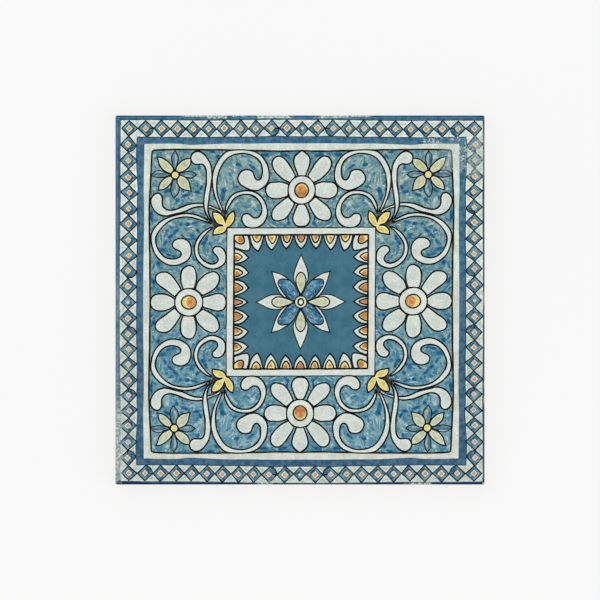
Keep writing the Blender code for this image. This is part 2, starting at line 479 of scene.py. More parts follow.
# The lozenges, counted from the middle, whose edge towards the middle of the print swells past its
# straight line: how far along the edge each point of the swelling lies, and how far out
ROW_SWELLS = (2, 10)
COLUMN_SWELLS = (2, 6, 10)
SWELL = ((0.25, 0.70), (0.50, 0.95), (0.78, 0.65))

# The share of a core's given reach that is drawn, the share of it that the dot takes, and the reach up
# to which the dot is only a pearly tint
CORE_SHARE = 0.95
DOT_SHARE = 0.64
SMALL_CORE = 1.3

# Half the width of the lozenges' outlines and of their dark and light brush streaks, how far outside
# the core the streaks run, and how wide the rim round a triangle's middle is
LOZENGE_INK = 0.33
STREAK_HALF = 0.48
LIGHT_HALF = 0.30
SWELL_STREAK_HALF = 0.36
STREAK_GAP = 0.7
TRIANGLE_RIM = 1.0


def diamond(left, top, right, bottom):
    """A four-sided outline with sharp corners."""
    return outline([left, top, right, bottom], corners=(0, 1, 2, 3))


def lay_lozenge(sheet, left, top, right, bottom, core, copies):
    """A blue lozenge with a darker and a lighter brush streak, a cream core and an orange dot."""
    u, v, reach = core
    sheet.drawn("lozenge", diamond(left, top, right, bottom), copies, LOZENGE_INK, "lozenge_ink")
    far = reach + STREAK_GAP
    sheet.line([(u - far, v + 0.3), (u - 0.62 * far, v - 0.62 * far), (u - 0.1, v - far)],
               copies, STREAK_HALF, "lozenge_streak")
    sheet.line([(u + 0.2, v + far), (u + 0.65 * far, v + 0.6 * far), (u + far, v)],
               copies, LIGHT_HALF, "lozenge_light")
    reach *= CORE_SHARE
    sheet.lay("core", diamond((u - reach, v), (u, v + reach), (u + reach, v), (u, v - reach)), copies)
    dot = DOT_SHARE * reach
    colour = "dot" if reach > SMALL_CORE else "pearl"
    sheet.lay(colour, outline([(u - dot, v), (u, v + dot), (u + dot, v), (u, v - dot)]), copies)


def lay_swell(sheet, crossing, tip, core):
    """A lozenge's edge that swells out between a crossing and a tip, with a tick towards the core."""
    crossing, tip, middle = np.array(crossing), np.array(tip), np.array(core[:2])
    edge = tip - crossing
    out = np.array([edge[1], -edge[0]]) / np.linalg.norm(edge)
    out *= math.copysign(1, out @ (crossing - middle))
    arc = [crossing + share * edge + reach * out for share, reach in SWELL]
    cover = crossing + edge / 2 - 0.5 * out
    streak = [crossing + 0.25 * edge, crossing + 0.85 * edge]
    tick = [crossing, crossing + 0.5 * (middle - crossing)]
    sheet.lay("lozenge", outline([crossing, *arc, tip, cover], corners=(0, 4)))
    sheet.line(streak, half=SWELL_STREAK_HALF, colour="lozenge_streak")
    for points in ([crossing, *arc, tip], tick):
        sheet.line(points, half=LOZENGE_INK, colour="lozenge_ink")


def lay_triangle(sheet, a, b, c):
    """The grainy grey middle of a pale triangle between two lozenges."""
    triangle = outline([a, b, c], corners=(0, 1, 2))
    sheet.lay("pale_middle", grown(triangle, -TRIANGLE_RIM))


def lay_lozenges(sheet):
    """The pale triangles, the lozenges of the row and the column, and the swollen edges."""
    row = (ROW_CROSSINGS, ROW_OUTER_TIPS, ROW_INNER_TIPS)
    column = (COLUMN_CROSSINGS, COLUMN_OUTER_TIPS, COLUMN_INNER_TIPS)
    for crossings, *both in (row, column):
        for i in range(len(crossings) - 1):
            for tips in both:
                lay_triangle(sheet, tips[i], crossings[i], tips[i + 1])
    (u, v), copies = ROW_CROSSINGS[0], UP_DOWN
    before = (-u, v)
    for after, outer, inner, core in zip(*row, ROW_CORES):
        lay_lozenge(sheet, before, outer, after, inner, core, copies)
        before, copies = after, CORNERS
    (u, v), copies = COLUMN_CROSSINGS[0], LEFT_RIGHT
    below = (u, -v)
    for above, outer, inner, core in zip(*column, COLUMN_CORES):
        lay_lozenge(sheet, inner, above, outer, below, core, copies)
        below, copies = above, CORNERS
    for i in ROW_SWELLS:
        lay_swell(sheet, ROW_CROSSINGS[i - 1], ROW_INNER_TIPS[i], ROW_CORES[i])
    for i in COLUMN_SWELLS:
        lay_swell(sheet, COLUMN_CROSSINGS[i - 1], COLUMN_INNER_TIPS[i], COLUMN_CORES[i])


# How far from the print's centre the white frame ends, and where the panel inside it begins
FRAME_OUTER = 40.3
FRAME_INNER = 36.4


def lay_frame(sheet):
    """The white square frame round the middle panel, with an ink line on either side."""
    o, i = FRAME_OUTER, FRAME_INNER
    sheet.lay("frame", [(0, 0), (o, 0), (o, o), (0, o)])
    sheet.line([(0, o - 0.1), (15, o - 0.1), (30, o), (o, o)], half=FINE_HALF)
    sheet.line([(o, o), (o + 0.1, 20), (o, 0)], half=FINE_HALF)
    sheet.lay("panel", [(0, 0), (i, 0), (i, i), (0, i)])
    sheet.line([(0, i), (18, i), (i - 0.4, i - 0.1)])
    sheet.line([(i - 0.1, i - 0.4), (i, 18), (i - 0.1, 0)])


# The teeth of the middle panel, from the middle outwards: outline, orange heart, how wide the heart's
# amber rim is, and how far the orange lies off its middle
TOP_TEETH = [
    ([(4.1, 36.3), (4.8, 33.6), (6.3, 30.6), (8.05, 28.7), (9.7, 30.6), (10.9, 33.6), (11.5, 36.3)],
     [(5.5, 36.3), (5.9, 34.3), (6.8, 32.8), (7.7, 32.2), (8.8, 32.8), (9.6, 34.4), (9.9, 36.3)],
     0.9, (0.1, 0.3)),
    ([(11.8, 36.3), (12.8, 32.9), (14.3, 30.0), (16.0, 28.0), (17.9, 30.0), (19.2, 32.8), (19.9, 36.3)],
     [(13.4, 36.3), (13.9, 33.9), (14.9, 32.1), (15.7, 31.5), (16.8, 32.8), (17.8, 34.5), (18.1, 36.3)],
     1.2, (0.2, 0.1)),
    ([(20.2, 36.3), (20.8, 33.0), (21.7, 30.0), (23.2, 27.4), (25.3, 28.9), (26.9, 31.4), (28.2, 36.3)],
     [(21.4, 36.3), (22.1, 33.9), (23.0, 32.9), (24.0, 32.4), (25.3, 33.3), (26.2, 35.0), (26.4, 36.3)],
     1.05, (0.3, 0.55)),
]
SIDE_TEETH = [
    ([(36.3, 3.3), (33.8, 4.0), (30.7, 5.4), (28.2, 7.8), (31.0, 10.9), (33.6, 12.0), (36.3, 12.1)],
     [(36.3, 5.4), (34.8, 5.4), (33.0, 6.2), (31.4, 7.5), (32.8, 9.2), (34.9, 10.3), (36.3, 10.5)],
     0.55, (0.2, -0.1)),
    ([(36.3, 12.3), (33.3, 12.9), (30.4, 14.3), (28.3, 15.9), (30.7, 18.7), (33.2, 20.0), (36.3, 20.4)],
     [(36.3, 13.8), (34.9, 13.8), (33.0, 14.6), (31.6, 15.9), (33.3, 17.5), (34.9, 18.0), (36.3, 18.0)],
     0.75, (0.3, -0.35)),
    ([(36.3, 20.6), (32.8, 21.4), (30.4, 22.4), (28.3, 24.2), (30.2, 26.0), (32.2, 27.6), (36.3, 29.2)],
     [(36.3, 22.4), (34.5, 22.4), (33.0, 23.4), (32.0, 24.5), (33.6, 26.0), (34.9, 26.5), (36.3, 26.6)],
     0.75, (0.3, -0.3)),
]

# Half the width of the ink round a heart, and the amber rim of the two coral hearts in the middle
HEART_INK = 0.42
CORAL_RIM = 0.45

# The right halves of the two middle teeth, from the tip, and the tooth in the corner
MIDDLE_TOP_TOOTH = [(0, 28.7), (1.4, 30.0), (3.0, 32.6), (3.8, 36.3)]
MIDDLE_TOP_HEART = [(0, 32.3), (0.9, 32.9), (1.8, 34.4), (2.3, 36.3)]
MIDDLE_SIDE_TOOTH = [(0, 28.6), (1.6, 30.9), (2.7, 33.7), (2.9, 36.3)]
MIDDLE_SIDE_HEART = [(0, 31.6), (0.6, 32.4), (1.4, 34.6), (1.8, 36.3)]
CORNER_TOOTH = [
    (28.9, 36.3), (27.9, 32.5), (27.8, 29.2), (28.6, 27.9), (31.1, 27.9), (33.7, 28.6), (36.3, 29.5),
    (36.3, 36.3),
]
CORNER_HEART = [
    (31.9, 36.2), (31.0, 34.2), (31.0, 32.3), (31.9, 31.5), (33.8, 31.7), (36.3, 33.6), (36.3, 36.2),
]
CORNER_GLOW = [
    (31.6, 32.4), (31.5, 34.0), (32.2, 35.4), (33.6, 35.6), (34.5, 34.6), (34.2, 33.2), (33.0, 32.2),
]


def lay_tooth(sheet, body, heart, rim, shift, copies=CORNERS, glow="orange"):
    """A white pointed tooth with an orange heart that lightens to amber along its rim."""
    last = len(body) - 1
    sheet.white(outline(body, corners=(0, last // 2, last)), copies)
    loop = outline(heart, corners=(0, len(heart) - 1))
    sheet.drawn("amber", loop, copies, HEART_INK)
    sheet.lay(glow, grown(loop, -rim) + np.array(shift), copies)


def whole(half):
    """A middle tooth or heart, from its right half, which starts at the tip."""
    return [(-u, v) for u, v in reversed(half[1:])] + half


def lay_teeth(sheet):
    """All the teeth, and the frame's inner line again where their roots cover it."""
    top, heart = whole(MIDDLE_TOP_TOOTH), whole(MIDDLE_TOP_HEART)
    lay_tooth(sheet, top, heart, CORAL_RIM, (0, 0.2), UP_DOWN, "coral")
    side, heart = turned(whole(MIDDLE_SIDE_TOOTH)), turned(whole(MIDDLE_SIDE_HEART))
    lay_tooth(sheet, side, heart, CORAL_RIM, (0.2, 0), LEFT_RIGHT, "coral")
    sheet.white(outline(CORNER_TOOTH, corners=(0, 6, 7)))
    sheet.drawn("amber", outline(CORNER_HEART, corners=(0, 5, 6)), half=HEART_INK)
    sheet.lay("orange", outline(CORNER_GLOW))
    for tooth in SIDE_TEETH + TOP_TEETH:
        lay_tooth(sheet, *tooth)
    i = FRAME_INNER
    sheet.line([(0, i), (18, i), (i - 0.3, i)])
    sheet.line([(i, i - 0.3), (i, 18), (i, 0)])


# The rosette in the middle of the panel: the right halves of its upright petal and drop and, turned on
# the diagonal, of its level ones, the petal between them with its heart, then the hub and the inks
AXIS_PETAL = [
    (0, 25.7), (0.7, 24.2), (1.7, 21.8), (2.7, 19.3), (3.5, 17.0), (4.0, 14.9), (3.7, 11.6), (0, 5.0),
]
AXIS_DROP = [
    (0, 16.1), (1.2, 15.5), (2.2, 14.1), (2.75, 12.3), (2.6, 10.6), (2.2, 8.8), (1.4, 6.6), (0, 4.0),
]
SIDE_PETAL = [
    (0, 24.2), (1.0, 22.3), (2.0, 20.2), (3.0, 18.4), (3.7, 16.6), (4.05, 14.3), (3.8, 11.0), (0, 5.0),
]
SIDE_DROP = [
    (0, 15.8), (1.5, 15.1), (2.4, 13.9), (2.85, 12.5), (2.8, 11.2), (2.4, 9.4), (1.3, 6.1), (0, 3.6),
]
DIAGONAL_PETAL = [
    (15.9, 16.6), (13.9, 16.05), (11.5, 15.4), (8.3, 13.6), (6.2, 12.0), (3.2, 8.8), (1.2, 5.6), (2.0, 2.0),
    (6.0, 1.6), (9.4, 3.0), (11.5, 5.3), (13.3, 8.8), (14.6, 12.4),
]
DIAGONAL_HEART = [
    (6.1, 11.8), (8.9, 12.35), (9.95, 12.5), (11.5, 12.1), (12.3, 11.0), (12.2, 9.6), (11.2, 7.6),
    (9.4, 4.9), (6.9, 2.1), (4.5, 0.8), (2.0, 1.4), (0.6, 4.2), (1.9, 6.4), (3.5, 9.0),
]
HUB = (0, 0, 3.3)
HUB_MIDDLE = (0, 0, 1.45, 1.8)
ROSETTE_INK = 0.34
DROP_INK = 0.37
HUB_INK = 0.48


def lay_rosette(sheet):
    """Eight white petals, four with a mottled heart and four with a green drop, and a yellow hub."""
    petal = outline(mirrored(AXIS_PETAL), corners=(0, 7))
    drop = outline(mirrored(AXIS_DROP), corners=(7,))
    side = outline(turned(mirrored(SIDE_PETAL)), corners=(0, 7))
    side_drop = outline(turned(mirrored(SIDE_DROP)), corners=(7,))
    diagonal = outline(DIAGONAL_PETAL, corners=(0, 7))
    for loop, copies in ((petal, UP_DOWN), (side, LEFT_RIGHT), (diagonal, CORNERS)):
        sheet.rimmed("white", "petal", PETAL_RIM, loop, copies, ROSETTE_INK, "rosette_ink")
    sheet.drawn("mottle", outline(DIAGONAL_HEART), CORNERS, ROSETTE_INK, "rosette_ink")
    for loop, copies in ((drop, UP_DOWN), (side_drop, LEFT_RIGHT)):
        sheet.rimmed("green_light", "green", GREEN_RIM, loop, copies, DROP_INK)
    sheet.drawn("hub", disc(*HUB), ONCE, ROSETTE_INK, "rosette_ink")
    sheet.drawn("hub_middle", disc(*HUB_MIDDLE), ONCE, HUB_INK)


# The daisies above and beside the panel: half of each petal that lies on the middle line, the whole
# petals on one side of it, and the ring, the eye and its orange heart, by their middles and radii
TOP_DAISY = {
    "axis": [
        [(0, 81.9), (2.0, 80.6), (3.7, 79.0), (4.5, 77.0), (4.15, 73.7), (3.1, 70.7), (1.9, 68.0),
         (0, 67.0)],
        [(0, 53.5), (2.0, 52.6), (3.65, 49.5), (4.5, 46.9), (4.8, 44.9), (4.0, 42.6), (2.6, 41.2),
         (0, 40.7)],
    ],
    "side": [
        [(3.1, 68.2), (5.3, 72.1), (7.3, 75.1), (9.6, 77.7), (11.6, 78.9), (13.3, 78.9), (14.9, 78.0),
         (16.1, 76.0), (16.1, 73.7), (15.1, 71.4), (12.6, 68.4), (9.9, 66.1), (6.4, 64.4)],
        [(7.0, 63.7), (8.6, 64.4), (11.3, 65.1), (13.9, 64.9), (16.6, 64.8), (18.3, 63.9), (19.6, 61.9),
         (19.6, 59.8), (18.6, 57.6), (16.6, 56.3), (13.9, 55.8), (10.9, 56.2), (7.2, 57.4)],
        [(7.3, 57.0), (8.9, 56.0), (11.3, 54.2), (13.9, 52.2), (15.75, 49.5), (16.3, 46.7), (15.4, 44.7),
         (13.9, 43.9), (11.6, 44.0), (8.9, 45.0), (6.6, 47.5), (5.0, 50.2), (3.5, 53.4)],
    ],
    "centre": (0, 60.6, 7.4, 7.7),
    "eye": (0, 60.4, 3.7, 4.0),
    "glow": (0, 59.95, 2.95, 3.3),
}
SIDE_DAISY = {
    "axis": [
        [(0, 82.0), (1.3, 81.75), (3.2, 80.8), (4.4, 78.8), (4.75, 75.8), (4.4, 73.1), (3.2, 70.4),
         (1.9, 68.6), (0, 67.5)],
        [(0, 53.9), (2.6, 53.1), (3.4, 50.6), (4.1, 48.3), (4.9, 45.6), (4.7, 43.5), (3.7, 41.6),
         (1.9, 40.7), (0, 40.4)],
    ],
    "side": [
        [(57.8, 7.3), (56.9, 10.5), (56.55, 13.9), (57.2, 17.2), (58.5, 19.3), (60.5, 20.0), (62.5, 19.5),
         (64.5, 17.8), (65.3, 15.2), (65.3, 11.5), (64.6, 8.8), (63.9, 7.2)],
        [(64.9, 6.9), (66.2, 9.2), (68.2, 12.2), (70.5, 14.9), (72.6, 16.3), (75.1, 16.5), (77.4, 15.85),
         (79.1, 13.9), (78.9, 11.5), (77.1, 9.2), (73.8, 6.9), (70.5, 4.3), (68.5, 2.9)],
        [(57.6, 7.1), (56.2, 10.9), (54.2, 13.2), (51.9, 15.2), (49.9, 16.1), (47.3, 16.7), (45.3, 15.8),
         (44.1, 13.9), (44.4, 10.9), (45.6, 8.55), (47.3, 6.9), (49.9, 5.2), (53.3, 3.6)],
    ],
    "centre": (60.85, 0, 7.65, 7.5),
    "eye": (60.8, 0, 4.05, 3.65),
    "glow": (59.6, 0, 2.6, 3.0),
}
# Half the width of the ink round the eye and the ring, and how far round the ring the field is pale
EYE_INK = 0.44
RING_INK = 0.38
PALE_REACH = 3.4


def lay_daisy(sheet, daisy, copies, upright):
    """White petals round a white ring, and an amber eye with an orange heart."""
    sheet.lay("field_pale", grown(disc(*daisy["centre"]), PALE_REACH), copies)
    for half in daisy["axis"]:
        points = mirrored(half)
        loop = outline(points if upright else turned(points))
        sheet.white(loop, copies)
    for points in daisy["side"]:
        sheet.white(outline(points, corners=(0, len(points) - 1)))
    sheet.drawn("white", disc(*daisy["centre"]), copies, RING_INK)
    sheet.drawn("amber", disc(*daisy["eye"]), copies, EYE_INK)
    sheet.lay("orange", disc(*daisy["glow"]), copies)


# The scrolls, each a closed ribbon that starts thin at the trefoil and ends in a round blob
UPPER_SMALL_SCROLL = [
    (40.8, 47.9), (40.0, 50.1), (38.6, 52.8), (37.1, 55.2), (35.2, 56.8), (32.5, 57.9), (29.8, 58.2),
    (27.2, 57.8), (24.9, 56.5), (22.9, 54.3), (21.8, 51.8), (21.6, 49.5), (22.2, 47.5), (23.5, 46.0),
    (25.5, 45.7), (26.9, 46.5), (28.2, 47.7), (29.9, 48.0), (31.6, 47.3), (32.4, 45.5), (32.0, 43.2),
    (30.6, 41.3), (28.5, 40.3), (25.9, 40.1), (22.9, 40.7), (20.6, 42.5), (19.1, 44.9), (18.3, 47.9),
    (18.6, 50.9), (19.6, 53.8), (21.2, 56.4), (23.3, 58.4), (26.1, 59.9), (29.4, 60.4), (33.2, 60.1),
    (36.5, 58.8), (38.8, 56.8), (40.5, 53.7), (41.4, 50.9), (41.3, 48.7),
]
UPPER_BIG_SCROLL = [
    (42.2, 49.3), (43.3, 52.0), (44.5, 55.0), (45.5, 58.3), (45.9, 61.3), (45.9, 64.4), (45.5, 67.8),
    (44.7, 70.8), (43.3, 73.6), (41.6, 76.2), (39.9, 78.0), (37.5, 79.3), (34.8, 80.0), (31.5, 80.2),
    (29.2, 79.9), (26.9, 79.0), (24.5, 77.5), (22.6, 75.3), (21.7, 72.7), (21.6, 69.4), (22.0, 67.4),
    (22.9, 66.3), (24.0, 66.1), (25.2, 67.0), (25.9, 68.8), (26.5, 70.4), (27.9, 71.4), (29.8, 71.7),
    (32.2, 71.1), (33.8, 69.4), (34.7, 67.4), (34.5, 65.3), (33.2, 63.4), (31.2, 62.1), (28.9, 61.0),
    (26.5, 60.3), (23.9, 60.3), (21.6, 61.3), (19.6, 62.8), (18.2, 64.9), (17.6, 67.5), (17.7, 70.5),
    (18.3, 73.5), (19.6, 76.1), (21.2, 78.4), (23.3, 80.2), (26.0, 81.5), (30.0, 82.2), (35.0, 82.3),
    (39.4, 81.9), (41.3, 81.1), (43.1, 79.6), (45.0, 77.5), (46.5, 74.8), (47.7, 72.0), (48.3, 69.4),
    (48.6, 66.5), (48.5, 63.5), (48.1, 60.8), (47.4, 58.0), (46.4, 55.2), (44.9, 51.8), (43.4, 49.2),
]
UPRIGHT_STEM = [
    (47.6, 43.4), (48.4, 44.3), (49.4, 46.0), (50.2, 47.9), (50.6, 49.8), (50.6, 52.2), (50.2, 55.0),
    (49.8, 58.3), (49.3, 61.3), (48.9, 64.4), (48.6, 67.5), (48.6, 70.2), (49.0, 73.0), (49.7, 75.2),
    (50.8, 77.1), (52.3, 79.2), (54.1, 80.8), (56.2, 81.5), (58.0, 81.2), (59.5, 80.1), (60.3, 78.5),
    (60.2, 76.8), (59.3, 75.2), (57.7, 74.3), (55.9, 74.3), (54.4, 74.4), (53.1, 73.7), (52.2, 72.1),
    (51.8, 69.9), (51.8, 66.9), (51.9, 63.8), (52.4, 60.7), (52.8, 57.7), (53.1, 54.6), (53.0, 51.6),
    (52.4, 49.2), (51.3, 46.6), (50.0, 44.5), (48.9, 43.3),
]
LEVEL_STEM = [
    (42.9, 48.6), (43.9, 49.9), (45.4, 50.6), (47.5, 51.5), (50.5, 52.7), (53.4, 53.4), (55.9, 53.7),
    (58.7, 53.5), (61.4, 52.9), (64.2, 51.9), (67.2, 50.7), (70.3, 49.9), (72.2, 50.0), (74.0, 50.8),
    (75.1, 52.2), (75.4, 54.0), (75.3, 55.8), (75.8, 57.5), (76.9, 58.7), (78.3, 59.0), (79.9, 58.3),
    (81.2, 56.75), (81.8, 54.9), (81.6, 52.8), (80.8, 50.9), (79.4, 49.0), (77.6, 47.6), (75.5, 46.8),
    (73.0, 46.6), (70.6, 47.1), (67.8, 47.8), (65.1, 48.4), (62.9, 49.1), (60.5, 50.2), (58.0, 51.1),
    (55.6, 51.5), (53.1, 51.5), (50.1, 50.9), (48.2, 50.4), (46.8, 49.9), (45.2, 49.0), (43.6, 47.9),
]
LOWER_BIG_SCROLL = [
    (48.7, 43.1), (50.0, 44.1), (51.5, 44.9), (53.4, 45.9), (57.2, 47.4), (59.9, 47.9), (62.9, 48.1),
    (65.7, 47.7), (68.8, 47.0), (71.7, 46.1), (74.8, 44.7), (77.4, 42.9), (79.4, 40.7), (80.9, 38.4),
    (81.6, 36.0), (81.5, 32.8), (80.8, 29.4), (79.4, 26.1), (77.4, 23.5), (74.9, 21.5), (72.0, 20.2),
    (68.8, 19.8), (65.8, 20.3), (63.1, 21.6), (60.9, 23.5), (59.7, 25.8), (59.4, 28.3), (59.9, 30.9),
    (61.2, 33.0), (63.2, 34.3), (65.5, 34.7), (67.7, 34.2), (69.3, 33.1), (70.0, 31.4), (69.7, 29.9),
    (68.5, 28.8), (66.6, 28.0), (65.4, 27.1), (65.1, 26.0), (65.8, 24.8), (67.5, 24.0), (69.8, 23.6),
    (72.5, 24.0), (74.9, 25.4), (76.8, 27.5), (78.1, 30.0), (78.8, 32.4), (78.8, 34.9), (77.8, 37.4),
    (76.1, 39.8), (73.8, 42.2), (71.0, 44.1), (67.9, 45.3), (64.8, 45.9), (62.2, 46.0), (59.2, 45.7),
    (56.0, 44.8), (53.9, 44.1), (51.3, 43.2), (49.1, 42.4),
]
LOWER_SMALL_SCROLL = [
    (47.9, 40.4), (49.0, 40.6), (50.3, 40.1), (52.3, 38.9), (54.4, 37.1), (56.2, 34.8), (57.5, 32.1),
    (58.1, 29.2), (57.9, 26.5), (56.9, 23.8), (55.0, 21.3), (52.6, 19.3), (50.0, 18.2), (47.5, 17.9),
    (44.9, 18.5), (42.6, 19.9), (41.1, 21.8), (40.6, 24.0), (40.8, 26.5), (42.0, 28.7), (43.6, 29.9),
    (45.6, 30.3), (47.3, 29.7), (48.1, 28.2), (47.7, 26.9), (46.4, 25.5), (45.3, 24.1), (45.1, 22.8),
    (46.0, 21.5), (47.9, 20.8), (50.2, 21.2), (52.6, 22.6), (54.5, 24.5), (55.5, 26.8), (55.7, 29.4),
    (55.2, 31.8), (53.9, 34.1), (52.2, 36.3), (50.4, 38.3), (48.9, 39.5),
]
TREFOIL = [
    (41.2, 43.5), (40.9, 44.8), (40.3, 46.2), (39.4, 47.5), (37.9, 48.8), (36.7, 49.4), (36.1, 47.1),
    (36.2, 45.1), (36.7, 43.5), (37.7, 42.1), (38.9, 40.9), (40.1, 40.4), (40.7, 39.0), (41.8, 37.8),
    (43.2, 37.1), (45.0, 36.75), (47.8, 36.3), (47.8, 38.2), (47.2, 39.4), (46.2, 40.4), (45.0, 41.1),
    (43.7, 41.35), (42.6, 41.3), (43.2, 41.8), (45.0, 42.2), (46.1, 43.1), (46.9, 44.3), (47.75, 45.6),
    (48.2, 47.1), (48.1, 48.8), (46.2, 48.7), (44.6, 48.1), (43.2, 47.1), (42.1, 45.8), (41.5, 44.6),
]
TREFOIL_CORNERS = (0, 5, 11, 16, 22, 29)
UPPER_KNOT = [
    (41.2, 43.4), (41.0, 45.0), (40.95, 46.3), (41.1, 47.7), (41.4, 49.0), (41.9, 49.6), (42.6, 49.7),
    (43.3, 49.1), (43.5, 48.3), (42.8, 47.5), (42.1, 46.7), (41.6, 45.2),
]
LOWER_KNOT = [
    (42.7, 41.3), (43.7, 41.9), (44.9, 42.3), (45.9, 43.1), (46.7, 44.1), (47.4, 44.5), (48.1, 43.9),
    (49.0, 43.3), (49.1, 42.6), (48.3, 41.9), (48.0, 41.2), (48.1, 40.2), (47.8, 39.5), (47.2, 39.6),
    (46.2, 40.7), (44.9, 41.3),
]


def lay_scrolls(sheet):
    """The ribbons in the order in which they pass over each other, then the dark knots and the trefoil."""
    lower = (LEVEL_STEM, LOWER_BIG_SCROLL, LOWER_SMALL_SCROLL)
    upper = (UPPER_BIG_SCROLL, UPPER_SMALL_SCROLL, UPRIGHT_STEM)
    for points in (*lower, *upper):
        sheet.white(outline(points, corners=(0, len(points) - 1)))
    for points in (UPPER_KNOT, LOWER_KNOT):
        sheet.lay("knot", outline(points))
    leaves = outline(TREFOIL, corners=TREFOIL_CORNERS)
    sheet.rimmed("leaf_light", "leaf", LEAF_RIM, leaves)


# The flower in the corner of the field: its wide green petals, with the number of the point that is
# each one's tip, its slim grey-blue ones with a dark and a light streak in each, and its eye
CORNER_LEAVES = [
    [(69.4, 71.6), (70.3, 73.3), (71.8, 75.1), (74.0, 76.8), (76.1, 77.9), (78.5, 78.3), (77.9, 76.3),
     (77.3, 74.2), (76.1, 72.4), (74.6, 70.9), (72.4, 69.8), (70.6, 69.4)],
    [(60.2, 77.5), (62.0, 77.6), (64.2, 76.8), (66.0, 75.4), (67.5, 73.6), (68.3, 71.8), (68.0, 70.3),
     (66.4, 70.0), (64.5, 70.5), (62.6, 71.7), (61.1, 73.3), (60.2, 75.0)],
    [(59.9, 60.0), (60.5, 62.6), (61.1, 65.0), (62.4, 66.9), (64.2, 68.1), (66.2, 68.5), (67.3, 67.2),
     (67.4, 64.4), (66.3, 62.5), (64.5, 61.1), (62.3, 60.5)],
    [(77.5, 60.4), (77.3, 62.6), (76.7, 64.4), (75.2, 66.2), (73.3, 67.5), (71.2, 68.0), (70.0, 67.0),
     (70.2, 65.6), (71.2, 63.8), (72.7, 62.3), (74.9, 61.0)],
]
CORNER_LEAF_TIPS = (5, 0, 0, 0)
CORNER_SLIPS = [
    [(68.8, 81.6), (70.0, 79.7), (70.6, 77.9), (70.3, 75.7), (69.2, 72.0), (68.5, 71.0), (68.2, 72.4),
     (67.4, 75.1), (66.9, 77.6), (67.5, 79.7)],
    [(57.1, 68.8), (59.0, 70.2), (61.4, 70.7), (64.2, 70.1), (66.3, 69.2), (65.4, 68.2), (62.9, 67.5),
     (60.5, 67.0), (58.6, 67.6)],
    [(81.6, 68.4), (80.1, 70.2), (78.5, 70.8), (76.1, 70.7), (73.6, 69.8), (71.2, 69.0), (72.1, 68.2),
     (74.3, 67.5), (77.0, 67.2), (79.8, 67.7)],
    [(69.2, 56.3), (68.1, 57.4), (66.9, 58.9), (66.3, 61.3), (66.9, 63.8), (68.4, 66.6), (69.7, 65.3),
     (70.6, 63.2), (71.0, 61.0), (70.6, 58.6)],
]
CORNER_SLIP_STREAKS = [
    [(69.3, 79.9), (69.5, 77.2), (68.9, 73.2)],
    [(58.6, 68.7), (61.6, 69.2), (64.8, 69.0)],
    [(80.2, 69.0), (77.2, 69.3), (73.2, 68.7)],
    [(69.6, 58.2), (69.9, 61.4), (68.9, 65.4)],
]
CORNER_SLIP_LIGHTS = [
    [(68.5, 79.4), (68.1, 77.2), (68.5, 74.0)],
    [(60.4, 68.0), (62.6, 68.2), (64.6, 68.5)],
    [(79.0, 70.1), (77.2, 70.2), (75.0, 69.8)],
    [(68.6, 58.9), (67.7, 61.2), (67.9, 63.6)],
]
CORNER_EYE = (68.6, 68.7, 2.15)

# Half the width of the ink round the slim and the wide petals, and of the two streaks
SLIP_INK = 0.33
GREEN_INK = 0.38
SLIP_LIGHT_HALF = 0.42
SLIP_STREAK_HALF = 0.62


def lay_corner_flower(sheet):
    """Four slim grey-blue petals, four wide green ones over them, and a yellow eye."""
    for points, streak, light in zip(CORNER_SLIPS, CORNER_SLIP_STREAKS, CORNER_SLIP_LIGHTS):
        sheet.drawn("slip", outline(points, corners=(0,)), half=SLIP_INK)
        sheet.line(light, half=SLIP_LIGHT_HALF, colour="slip_light")
        sheet.line(streak, half=SLIP_STREAK_HALF, colour="slip_streak")
    for points, tip in zip(CORNER_LEAVES, CORNER_LEAF_TIPS):
        sheet.rimmed("green_light", "green", GREEN_RIM, outline(points, corners=(tip,)), half=GREEN_INK)
    sheet.rimmed("leaf_light", "leaf", LEAF_RIM, disc(*CORNER_EYE))


# Chips that show the fired body, on the tile in millimetres: middle, length, width and angle
CHIPS = [
    (99.8, 0.8, 8.2, 0.8, 90), (99.9, -45.6, 3.3, 0.6, 90), (99.8, -54.2, 4.6, 0.8, 90),
    (99.5, -99.4, 1.7, 1.3, -45), (99.7, 99.8, 0.9, 0.7, 0), (-99.8, 99.7, 0.9, 0.6, 0),
]


def drawing():
    """Every outline of the print, from the lowest layer to the chips on top."""
    sheet = Print()
    lay_ground(sheet)
    lay_lozenges(sheet)
    lay_frame(sheet)
    lay_teeth(sheet)
    lay_rosette(sheet)
    lay_scrolls(sheet)
    lay_daisy(sheet, TOP_DAISY, UP_DOWN, True)
    lay_daisy(sheet, SIDE_DAISY, LEFT_RIGHT, False)
    lay_corner_flower(sheet)
    for chip in CHIPS:
        sheet.lay_on_tile("clay_chip", ragged_oval(*chip))
    return sheet.layers


def rim_rings():
    """Closed loops round the tile where its rounded rim turns, so that the surface bends evenly."""
    rings = []
    far = HALF_SIDE - CORNER_RADIUS
    for step in range(1, RIM_STEPS + 1):
        inset = RIM_RADIUS * (1 - math.cos(math.pi / 2 * step / RIM_STEPS))
        radius = CORNER_RADIUS - max(inset, EDGE_MARGIN / 2)
        ring = []
        for quarter, (sx, sy) in enumerate(CORNERS):
            for i in range(CORNER_STEPS + 1):
                turn = math.pi / 2 * (quarter + i / CORNER_STEPS)
                ring.append((sx * far + radius * math.cos(turn), sy * far + radius * math.sin(turn)))
        rings.append(np.array(ring))
    return rings


